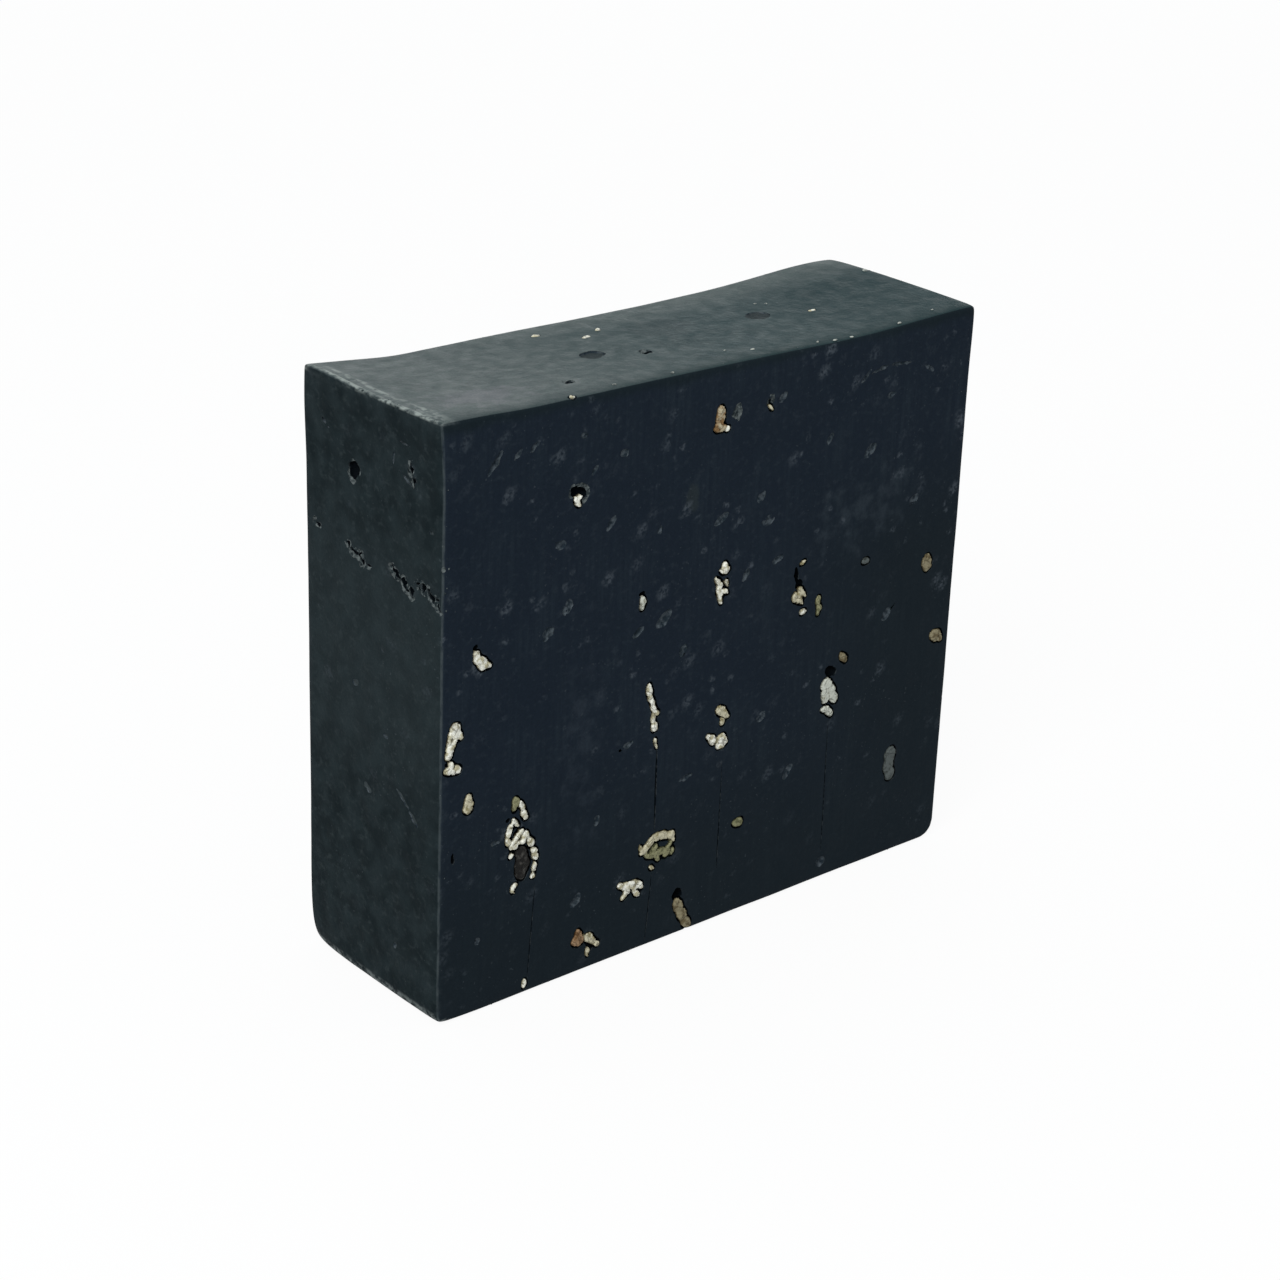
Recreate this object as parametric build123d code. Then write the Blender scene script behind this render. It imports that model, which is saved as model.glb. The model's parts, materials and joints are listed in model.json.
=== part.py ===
"""Hand-cut bar of charcoal soap with rolled oats, standing on its mould-bottom side.

Frame: origin at the centre of the base, +X across the loaf (mould wall to mould wall),
+Y from the front cut face to the back one, +Z up to the poured top. Millimetres.
"""
from build123d import *
from collections import namedtuple
import math
import os

# ---- the slice: a wire-cut loaf end standing on the mould's floor ----
WIDTH = 79.8            # between the straight mould walls
THICKNESS = 25.4        # one-inch slice between the two wire cuts
HEIGHT = 71.2           # base to the highest corner of the poured top
LIP_FLARE = 0.4         # how far the soap spreads where it climbed the mould wall
LIP_HEIGHT = 9.0        # height of that spread below the top
LEFT_FOOT_RADIUS = 1.2  # mould floor to left wall
RIGHT_FOOT_RADIUS = 2.2
EDGE_WEAR = 0.3         # width that handling takes off the cut and top edges

# ---- the poured top: how far it lies below HEIGHT, left wall to right wall ----
TOP_STATIONS = (0.0, 0.05, 0.14, 0.36, 0.58, 0.78, 0.89, 1.0)
FRONT_DIP = (0.40, 0.45, 0.80, 0.75, 0.95, 1.15, 0.65, 0.40)
MIDDLE_DIP = (0.50, 0.75, 1.25, 1.20, 1.20, 1.10, 0.65, 0.10)
BACK_DIP = (0.35, 0.85, 1.35, 1.25, 1.35, 0.95, 0.25, 0.00)

# ---- rolled oats ----
FLAKE = 0.85            # thickness of a rolled flake
FLAKE_EDGE = 0.35       # thickness left at its rim
FLAKE_BREADTH = 4.4     # across the crease
FLAKE_SIDES = 8         # flats round the outline of a whole flake
CRUMB_LENGTH = 2.3      # pieces up to this long are crumbs, with no crease
CRUMB_BREADTH = 3.0
CRUMB_SIDES = 6
CREASE_WIDTH = 0.3      # of the crease down the back of a flake
CREASE_DEPTH = 0.2
BREAK_ANGLE = 28        # slant of a snapped end
SMALLEST_LEAN = 17      # flattest that a flake lies to the cut face

# ---- torn pits and air pockets ----
PIT_SIDES = 7
PIT_SLOPE = 24          # of their walls from upright, in degrees

# ---- marks of the cutting wire ----
DRAG_WIDTH = 0.28
REACH = 1.0             # how far the cutting tools stand out past a face

# A seat is where something meets a face: across and up are shares of that face.
# shown_length and shown_width are what the wire laid bare, turn is anticlockwise.
Oat = namedtuple("Oat", "across up shown_length shown_width turn sag broken")
Hollow = namedtuple("Hollow", "across up width height depth turn")
Drag = namedtuple("Drag", "across up end_across end_up")


def face_plane(face, across, up):
    """The plane of a face at a share of its width and height, its normal out of the soap."""
    x = (across - 0.5) * WIDTH
    if face == "front":
        return Plane((x, -THICKNESS / 2, up * HEIGHT), (1, 0, 0), (0, -1, 0))
    if face == "back":
        return Plane((-x, THICKNESS / 2, up * HEIGHT), (-1, 0, 0), (0, 1, 0))
    if face == "left":
        y = (0.5 - across) * THICKNESS
        return Plane((-WIDTH / 2, y, up * HEIGHT), (0, -1, 0), (-1, 0, 0))
    if face == "right":
        y = (across - 0.5) * THICKNESS
        return Plane((WIDTH / 2, y, up * HEIGHT), (0, 1, 0), (1, 0, 0))
    # the top: up runs from the front cut to the back one
    y = (up - 0.5) * THICKNESS
    return Plane((x, y, top_height(across, up)), (1, 0, 0), (0, 0, 1))


def between(stations, values, at):
    """Straight-line reading of a row of values."""
    for i in range(len(stations) - 1):
        if at <= stations[i + 1]:
            part = (at - stations[i]) / (stations[i + 1] - stations[i])
            return values[i] + part * (values[i + 1] - values[i])
    return values[-1]


def top_height(across, up):
    """Height of the poured top at a share of the width and of the thickness."""
    rows = [between(TOP_STATIONS, dip, across) for dip in (FRONT_DIP, MIDDLE_DIP, BACK_DIP)]
    return HEIGHT - between((0.0, 0.5, 1.0), rows, up)


def loaf_section():
    """Cross-section of the loaf, taller than the bar: floor, foot radii, walls and flares."""
    half = WIDTH / 2
    wall_end = HEIGHT - LIP_HEIGHT
    above = HEIGHT + REACH
    # the flare is an arc that leaves the wall at a tangent and runs on above the bar
    flare_radius = (LIP_HEIGHT**2 + LIP_FLARE**2) / (2 * LIP_FLARE)
    outermost = half + flare_radius - math.sqrt(flare_radius**2 - (LIP_HEIGHT + REACH) ** 2)
    with BuildLine() as outline:
        Line((-half + LEFT_FOOT_RADIUS, 0), (half - RIGHT_FOOT_RADIUS, 0))
        TangentArc((half - RIGHT_FOOT_RADIUS, 0), (half, RIGHT_FOOT_RADIUS), tangent=(1, 0))
        Line((half, RIGHT_FOOT_RADIUS), (half, wall_end))
        TangentArc((half, wall_end), (outermost, above), tangent=(0, 1))
        Line((outermost, above), (-outermost, above))
        RadiusArc((-outermost, above), (-half, wall_end), flare_radius)
        Line((-half, wall_end), (-half, LEFT_FOOT_RADIUS))
        TangentArc((-half, LEFT_FOOT_RADIUS), (-half + LEFT_FOOT_RADIUS, 0), tangent=(0, -1))
    return make_face(outline.line)


def air_section(y, dips):
    """What lies above the poured top at one place along the thickness."""
    reach = WIDTH / 2 + LIP_FLARE + REACH
    roof = HEIGHT + 4 * REACH
    points = [
        ((share - 0.5) * 2 * reach, HEIGHT - dip) for share, dip in zip(TOP_STATIONS, dips)
    ]
    with BuildLine() as outline:
        Spline(*points)
        Polyline(points[-1], (reach, roof), (-reach, roof), points[0])
    plane = Plane((0, y, 0), (1, 0, 0), (0, -1, 0))
    return plane * make_face(outline.line)


def slice_blank():
    """The whole slice before any pit or oat: loaf section, poured top and worn edges."""
    upright = Plane((0, THICKNESS / 2, 0), (1, 0, 0), (0, -1, 0))
    blank = extrude(upright * loaf_section(), THICKNESS)
    ends = THICKNESS / 2 + REACH
    sections = [
        air_section(-ends, FRONT_DIP),
        air_section(0, MIDDLE_DIP),
        air_section(ends, BACK_DIP),
    ]
    blank = (blank - loft(sections)).solid()
    rims = [e for e in blank.edges() if e.bounding_box().max.Z > REACH]
    cut_rims = [e for e in rims if abs(abs(e.center().Y) - THICKNESS / 2) < 0.01]
    wall_rims = [e for e in rims if e not in cut_rims and e.center().Z > HEIGHT - 2 * REACH]
    return chamfer(cut_rims + wall_rims, EDGE_WEAR)


def flat_sided_oval(length, breadth, sides):
    """An oval outline made of flats, as torn pieces and torn pits have."""
    step = 2 * math.pi / sides
    reach = 0.5 / math.cos(step / 2)
    corners = [
        (length * reach * math.cos((i + 0.5) * step), breadth * reach * math.sin((i + 0.5) * step))
        for i in range(sides)
    ]
    return make_face(Polyline(*corners, close=True))


def rolled_flake(length, sag, broken=0.0):
    """One rolled oat at the origin: length along X, thickness along Y, breadth along Z.

    It is bowed by sag along its length, thins towards its ends and has an oval outline and
    a crease down its back. broken is the share of its length that snapped off at +X.
    """
    half, rim, crown = length / 2, FLAKE_EDGE / 2, FLAKE / 2
    whole = length > CRUMB_LENGTH
    breadth = FLAKE_BREADTH if whole else CRUMB_BREADTH
    with BuildLine() as side:
        ThreePointArc((-half, rim), (0, sag + crown), (half, rim))
        Line((half, rim), (half, -rim))
        ThreePointArc((half, -rim), (0, sag - crown), (-half, -rim))
        Line((-half, -rim), (-half, rim))
    flake = extrude(make_face(side.line), breadth / 2, both=True)
    outline = flat_sided_oval(length, breadth, FLAKE_SIDES if whole else CRUMB_SIDES)
    flake = flake & extrude(Plane.XZ * outline, length, both=True)
    if whole:
        flake = flake - crease_tool(half, rim, sag - crown)
    if broken:
        snap = Rot(0, BREAK_ANGLE, 0) * Box(length, 2 * length, 2 * length)
        flake = flake - Pos(half - broken * length + half, 0, 0) * snap
    return flake.solid()


def crease_tool(half, rim, back):
    """The crease's cutter: deepest at mid-length, where the back is, and out before both ends."""
    outside = -rim - CREASE_DEPTH
    below = back - 2 * half
    with BuildLine() as run:
        ThreePointArc((-half, outside), (0, back + CREASE_DEPTH), (half, outside))
        Polyline((half, outside), (half, below), (-half, below), (-half, outside))
    return extrude(make_face(run.line), CREASE_WIDTH / 2, both=True)


def seated_oat(face, oat):
    """A flake where the wire met it: it leans so that the cut shows the stated width."""
    slant = max(FLAKE / max(oat.shown_width, FLAKE), math.sin(math.radians(SMALLEST_LEAN)))
    lean = math.degrees(math.asin(slant))
    flake = rolled_flake(oat.shown_length, oat.sag * slant, oat.broken)
    seat = face_plane(face, oat.across, oat.up)
    return seat * Rot(0, 0, oat.turn) * Rot(90 - lean, 0, 0) * flake


def hollow_tool(face, hollow):
    """A torn pit: widest at the face, with sloping walls, and open well past the face."""
    slope = min(PIT_SLOPE, math.degrees(math.atan(hollow.width / 4 / hollow.depth)))
    spread = 2 * REACH * math.tan(math.radians(slope))
    mouth = flat_sided_oval(hollow.width + spread, hollow.height + spread, PIT_SIDES)
    pit = extrude(Pos(0, 0, REACH) * mouth, -(REACH + hollow.depth), taper=slope)
    return face_plane(face, hollow.across, hollow.up) * Rot(0, 0, hollow.turn) * pit


def drag_tool(face, drag):
    """A V groove that something caught on the wire ploughed down the face."""
    start = face_plane(face, drag.across, drag.up)
    run = Vector(drag.end_across - drag.across, drag.end_up - drag.up)
    span = Vector(run.X * WIDTH, run.Y * HEIGHT)
    turn = math.degrees(math.atan2(span.Y, span.X))
    groove = Rot(45, 0, 0) * Box(span.length, DRAG_WIDTH, DRAG_WIDTH)
    middle = Pos(span.X / 2, span.Y / 2, 0)
    return start * middle * Rot(0, 0, turn) * groove


FRONT_OATS = {
    "oat_top_centre": Oat(0.484, 0.898, 3.8, 1.9, 86, 0.3, 0.0),
    "oat_top_crumb": Oat(0.499, 0.874, 1.0, 0.9, 20, 0.1, 0.3),
    "oat_top_speck": Oat(0.581, 0.900, 1.4, 0.9, 80, 0.1, 0.2),
    "oat_pit_rim": Oat(0.230, 0.826, 2.4, 0.9, 8, -0.5, 0.0),
    "oat_column_kite": Oat(0.507, 0.650, 2.2, 1.5, 70, 0.2, 0.2),
    "oat_column_foot": Oat(0.500, 0.609, 3.4, 1.3, 100, 0.4, 0.0),
    "oat_upper_dash": Oat(0.351, 0.625, 2.1, 1.0, 92, 0.1, 0.2),
    "oat_comma": Oat(0.064, 0.611, 3.4, 1.5, -48, -0.6, 0.0),
    "oat_club_top": Oat(0.019, 0.486, 4.8, 1.4, 75, -0.4, 0.0),
    "oat_club_foot": Oat(0.016, 0.440, 1.9, 1.2, 12, -0.2, 0.2),
    "oat_teardrop": Oat(0.045, 0.373, 2.6, 1.5, 84, 0.1, 0.2),
    "oat_pair_hull": Oat(0.132, 0.345, 2.0, 1.0, 100, 0.1, 0.0),
    "oat_pair_flake": Oat(0.142, 0.327, 2.3, 0.9, 118, 0.1, 0.0),
    "oat_cluster_top": Oat(0.117, 0.303, 2.9, 1.3, 95, 0.5, 0.0),
    "oat_cluster_middle": Oat(0.141, 0.279, 2.8, 1.1, -38, 0.3, 0.0),
    "oat_cluster_chain": Oat(0.164, 0.243, 4.4, 0.9, -78, 0.3, 0.0),
    "oat_cluster_bran": Oat(0.139, 0.240, 4.2, 2.4, 84, 0.2, 0.0),
    "oat_cluster_tail": Oat(0.127, 0.196, 1.7, 0.9, 30, 0.5, 0.0),
    "oat_long_sliver": Oat(0.377, 0.436, 6.8, 1.0, -80, 0.4, 0.0),
    "oat_sliver_drop": Oat(0.386, 0.370, 1.3, 0.85, 90, 0.1, 0.0),
    "oat_amber_cap": Oat(0.513, 0.383, 2.6, 1.4, 10, 0.5, 0.0),
    "oat_lobe_left": Oat(0.495, 0.342, 2.0, 1.4, 150, 0.1, 0.2),
    "oat_lobe_right": Oat(0.517, 0.331, 2.1, 1.5, -25, 0.1, 0.2),
    "oat_ribbed_arch": Oat(0.398, 0.193, 5.6, 1.2, 4, 1.7, 0.0),
    "oat_ribbed_flake": Oat(0.399, 0.167, 4.2, 2.3, 8, 0.1, 0.0),
    "oat_ribbed_crumb": Oat(0.390, 0.136, 1.1, 0.85, 15, 0.1, 0.3),
    "oat_crab_left": Oat(0.334, 0.124, 2.2, 1.2, 150, 0.3, 0.0),
    "oat_crab_right": Oat(0.361, 0.115, 2.5, 1.3, 8, 0.4, 0.0),
    "oat_tan_flake": Oat(0.251, 0.068, 2.5, 1.9, 115, 0.3, 0.0),
    "oat_tan_tail": Oat(0.276, 0.049, 2.4, 1.3, -30, 0.3, 0.0),
    "oat_base_edge": Oat(0.456, 0.028, 4.6, 1.5, -56, -0.5, 0.0),
    "oat_under_tear": Oat(0.661, 0.557, 2.6, 1.8, 95, 0.3, 0.0),
    "oat_tear_tail": Oat(0.671, 0.531, 1.4, 0.9, 75, 0.1, 0.3),
    "oat_olive_sliver": Oat(0.701, 0.532, 2.5, 0.9, 80, 0.2, 0.0),
    "oat_large_white": Oat(0.737, 0.362, 3.8, 2.9, 84, 0.2, 0.15),
    "oat_large_foot": Oat(0.734, 0.318, 2.0, 1.5, 10, 0.1, 0.2),
    "oat_bran_bead": Oat(0.762, 0.419, 1.9, 1.4, 70, 0.1, 0.0),
    "oat_far_upper": Oat(0.933, 0.547, 2.9, 1.9, 85, 0.2, 0.0),
    "oat_far_lower": Oat(0.969, 0.400, 2.8, 2.0, 20, 0.2, 0.0),
    "oat_far_veiled": Oat(0.883, 0.180, 5.3, 2.3, 93, 0.3, 0.0),
    "oat_amber_bead": Oat(0.555, 0.171, 2.1, 1.6, 80, 0.1, 0.0),
    "oat_mid_speck": Oat(0.797, 0.585, 1.4, 0.9, 5, 0.1, 0.2),
    "oat_base_speck": Oat(0.150, 0.020, 1.3, 0.85, 88, 0.1, 0.2),
}

BACK_OATS = {
    "oat_back_sliver": Oat(0.300, 0.720, 5.8, 1.0, 76, 0.4, 0.0),
    "oat_back_flake": Oat(0.620, 0.580, 4.4, 2.3, 98, 0.3, 0.0),
    "oat_back_comma": Oat(0.180, 0.430, 3.2, 1.4, 35, -0.6, 0.0),
    "oat_back_arch": Oat(0.440, 0.300, 5.0, 1.2, -8, 1.4, 0.0),
    "oat_back_bead": Oat(0.560, 0.880, 2.2, 1.5, 60, 0.1, 0.2),
    "oat_back_chip": Oat(0.850, 0.760, 2.6, 1.8, 84, 0.2, 0.2),
    "oat_back_lobe": Oat(0.760, 0.220, 3.0, 1.9, 105, 0.3, 0.0),
    "oat_back_crumb": Oat(0.780, 0.172, 1.4, 0.9, 15, 0.1, 0.3),
    "oat_back_low": Oat(0.250, 0.100, 3.4, 1.5, 64, 0.4, 0.0),
    "oat_back_bran": Oat(0.920, 0.400, 2.4, 1.6, 92, 0.2, 0.0),
}

TOP_OATS = {
    "oat_top_skin_left": Oat(0.347, 0.760, 1.9, 0.9, 12, 0.1, 0.2),
    "oat_top_skin_middle": Oat(0.400, 0.610, 1.7, 0.9, 40, 0.1, 0.2),
    "oat_top_skin_right": Oat(0.764, 0.340, 1.4, 0.85, 30, 0.1, 0.2),
}

HOLLOWS = {
    "front": (
        Hollow(0.512, 0.901, 3.0, 3.3, 0.9, 0),
        Hollow(0.232, 0.833, 2.4, 1.5, 1.1, 8),
        Hollow(0.351, 0.644, 0.7, 1.0, 0.6, 0),
        Hollow(0.050, 0.637, 0.9, 1.1, 0.7, 20),
        Hollow(0.443, 0.077, 1.9, 1.9, 3.0, 0),
        Hollow(0.652, 0.590, 1.6, 3.4, 1.2, 4),
        Hollow(0.738, 0.400, 1.9, 1.6, 1.1, 0),
        Hollow(0.019, 0.289, 0.5, 1.5, 0.5, 0),
        Hollow(0.015, 0.465, 0.7, 0.9, 0.5, 0),
    ),
    "left": (
        Hollow(0.364, 0.861, 2.5, 2.0, 0.8, 10),
        Hollow(0.775, 0.900, 1.0, 3.8, 0.5, 15),
        Hollow(0.091, 0.727, 1.6, 0.8, 0.5, 5),
        Hollow(0.365, 0.727, 3.2, 1.1, 0.7, -20),
        Hollow(0.700, 0.724, 3.6, 1.3, 0.8, -18),
        Hollow(0.890, 0.722, 2.6, 1.0, 0.6, -12),
        Hollow(0.600, 0.453, 1.1, 0.9, 0.3, 0),
        Hollow(0.685, 0.098, 0.9, 0.8, 0.4, 0),
    ),
    "right": (
        Hollow(0.300, 0.730, 3.0, 1.0, 0.6, 12),
        Hollow(0.640, 0.722, 2.2, 0.9, 0.5, -8),
        Hollow(0.480, 0.380, 1.2, 1.0, 0.4, 0),
    ),
    "back": (
        Hollow(0.620, 0.625, 1.6, 3.0, 1.0, 0),
        Hollow(0.760, 0.260, 1.7, 1.9, 0.9, 0),
        Hollow(0.380, 0.840, 2.2, 1.6, 0.9, 14),
    ),
    "top": (
        Hollow(0.353, 0.370, 3.6, 3.0, 0.35, 30),
        Hollow(0.428, 0.272, 1.5, 1.4, 0.7, 0),
        Hollow(0.251, 0.124, 1.2, 1.1, 0.6, 0),
        Hollow(0.688, 0.409, 3.5, 3.2, 0.25, 0),
    ),
}

DRAGS = {
    "front": (
        Drag(0.386, 0.358, 0.389, 0.208),
        Drag(0.389, 0.128, 0.379, 0.012),
        Drag(0.166, 0.185, 0.154, 0.040),
        Drag(0.519, 0.310, 0.521, 0.100),
        Drag(0.736, 0.300, 0.738, 0.060),
    ),
    "back": (
        Drag(0.291, 0.676, 0.297, 0.470),
        Drag(0.779, 0.158, 0.774, 0.030),
        Drag(0.624, 0.545, 0.618, 0.330),
    ),
}


def boxes_meet(one, other):
    """Whether two shapes are near enough to touch."""
    a, b = one.bounding_box(), other.bounding_box()
    gaps = (
        max(a.min.X - b.max.X, b.min.X - a.max.X),
        max(a.min.Y - b.max.Y, b.min.Y - a.max.Y),
        max(a.min.Z - b.max.Z, b.min.Z - a.max.Z),
    )
    return max(gaps) < 0


def largest(shape):
    """The main solid of a shape that was cut."""
    return max(shape.solids(), key=lambda solid: solid.volume)


def seat_all():
    """Every flake in its place, each pressed against the ones laid before it."""
    seated = {}
    for face, seats in (("front", FRONT_OATS), ("back", BACK_OATS), ("top", TOP_OATS)):
        for name, oat in seats.items():
            flake = seated_oat(face, oat)
            neighbours = [other for other in seated.values() if boxes_meet(flake, other)]
            if neighbours:
                flake = largest(flake - neighbours)
            seated[name] = flake
    return seated


blank = slice_blank()
flakes = seat_all()
cutters = [hollow_tool(face, h) for face, hollows in HOLLOWS.items() for h in hollows]
cutters += [drag_tool(face, d) for face, drags in DRAGS.items() for d in drags]
soap = largest(blank - cutters - list(flakes.values()))

os.makedirs("parts", exist_ok=True)
export_step(soap, "parts/soap_bar.step")
for name, flake in flakes.items():
    export_step(largest(flake & blank), f"parts/{name}.step")
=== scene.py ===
import json
import math
import random

import bpy
from mathutils import Matrix, Vector

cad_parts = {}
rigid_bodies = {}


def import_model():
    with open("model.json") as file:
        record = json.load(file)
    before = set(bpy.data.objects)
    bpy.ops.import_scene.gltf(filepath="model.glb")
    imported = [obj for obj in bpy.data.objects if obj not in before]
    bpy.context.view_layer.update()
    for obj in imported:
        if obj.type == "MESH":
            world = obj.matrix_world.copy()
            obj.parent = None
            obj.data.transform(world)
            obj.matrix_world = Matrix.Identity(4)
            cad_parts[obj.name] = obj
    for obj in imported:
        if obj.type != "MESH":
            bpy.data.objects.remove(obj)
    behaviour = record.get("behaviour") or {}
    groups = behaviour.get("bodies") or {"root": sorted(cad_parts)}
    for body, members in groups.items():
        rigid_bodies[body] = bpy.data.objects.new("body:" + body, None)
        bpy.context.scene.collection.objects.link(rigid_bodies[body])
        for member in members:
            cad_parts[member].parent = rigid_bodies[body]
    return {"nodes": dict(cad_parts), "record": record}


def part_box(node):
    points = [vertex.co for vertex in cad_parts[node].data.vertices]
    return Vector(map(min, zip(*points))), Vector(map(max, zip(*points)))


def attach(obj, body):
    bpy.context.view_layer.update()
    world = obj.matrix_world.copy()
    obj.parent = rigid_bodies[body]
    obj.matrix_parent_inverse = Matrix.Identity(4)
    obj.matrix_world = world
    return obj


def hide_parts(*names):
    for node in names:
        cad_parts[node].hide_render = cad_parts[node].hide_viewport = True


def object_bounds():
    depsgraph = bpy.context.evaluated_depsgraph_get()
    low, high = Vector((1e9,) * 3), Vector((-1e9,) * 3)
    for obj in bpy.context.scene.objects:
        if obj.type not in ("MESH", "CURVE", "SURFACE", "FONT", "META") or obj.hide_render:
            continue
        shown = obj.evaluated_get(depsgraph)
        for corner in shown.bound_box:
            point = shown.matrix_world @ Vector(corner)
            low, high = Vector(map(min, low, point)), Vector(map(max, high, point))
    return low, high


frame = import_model()
cad_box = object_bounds()

MM = 0.001
LOW, HIGH = Vector(cad_box[0]), Vector(cad_box[1])

# The bar's own dimensions, in millimetres.
THICKNESS = (HIGH.y - LOW.y) / MM
HEIGHT = 71.2
WALL = 39.9             # from the middle to each straight mould wall
LEFT, RIGHT, FRONT, BACK = -WALL, WALL, -THICKNESS / 2, THICKNESS / 2
LIP_FLARE = 0.4         # spread of the soap where it climbed the mould wall
LIP_HEIGHT = 9.0        # of that spread, below the top
BACK_LIP = 0.5          # how much further the left lip stands out at the back
LEFT_FOOT, RIGHT_FOOT = 0.9, 2.2    # roundings between the mould's floor and its walls
EDGE_WEAR = 0.38        # width of a rim worn by a weight of one
MEAN_DIP = 1.15         # how far most of the poured top lies below HEIGHT

# The oats, in millimetres.
OAT_DEPTH = 1.1         # how thick a lump of oat is, across the cut
SKIN_OAT_DEPTH = 0.75   # the same, for the flecks in the poured top
OAT_SINK = 0.18         # how far below the cut its middle lies
OAT_GRAIN = 0.08        # size of the cells that an oat is melted into
OAT_PROUD = 0.05        # what stands further out of the cut than this is pressed back
POCKET_GAP = 0.22       # strength with which a pocket is swollen past its oat
SKIN_POCKET_GAP = 0.07  # the same, for the flecks in the poured top

# The camera, the lights and the finishes. Angles are in degrees.
AZIMUTH, ELEVATION, ROLL = -41.65, 22.44, 2.07
AIM, DISTANCE = (-0.82, 0.0, 32.96), 328.3          # in millimetres
FOCAL_LENGTH, SENSOR_WIDTH = 77.3, 36.0
SKY_COLOUR, SKY_STRENGTH = (0.93, 0.97, 1.0, 1), 0.585
FLOOR_COLOUR = (0.42, 0.43, 0.44, 1)                # as the bar's underside sees it
FLOOR_SEEN, FLOOR_GLOW = (0.95, 0.95, 0.95, 1), 0.93
SOAP_SHINE, OAT_SHINE, STARCH_SHINE = 0.012, 0.15, 0.2
RIM_REACH = 0.65        # how far from a rim its wear reaches, in millimetres
SMOOTH_ANGLE = 35

# Working on the slab's cage, in millimetres.
SAME = 0.01             # nearer than this, two places are the same
CORNER_REACH = 1.7      # how far from a corner it is rubbed

# The left wall bulges towards its foot: how far, by height, at the front, middle and back.
BULGE_ROWS = (0, 12, 28, 46, 62)
FRONT_BULGE = (0.6, 0.46, 0.3, 0.22, 0)
MIDDLE_BULGE = (0.4, 0.3, 0.16, 0.06, 0)
BACK_BULGE = (0.15, 0.08, 0, 0, 0)

# How far the poured top lies below HEIGHT, from the left wall to the right one.
STATIONS = (0, 0.05, 0.14, 0.36, 0.58, 0.78, 0.89, 1)
FRONT_DIP = (0.4, 0.45, 0.8, 0.75, 0.95, 1.15, 0.65, 0.4)
MIDDLE_DIP = (0.5, 0.75, 1.25, 1.2, 1.2, 1.1, 0.65, 0.1)
BACK_DIP = (-0.4, 0.65, 1.35, 1.25, 1.35, 0.95, 0.25, 0)

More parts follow.
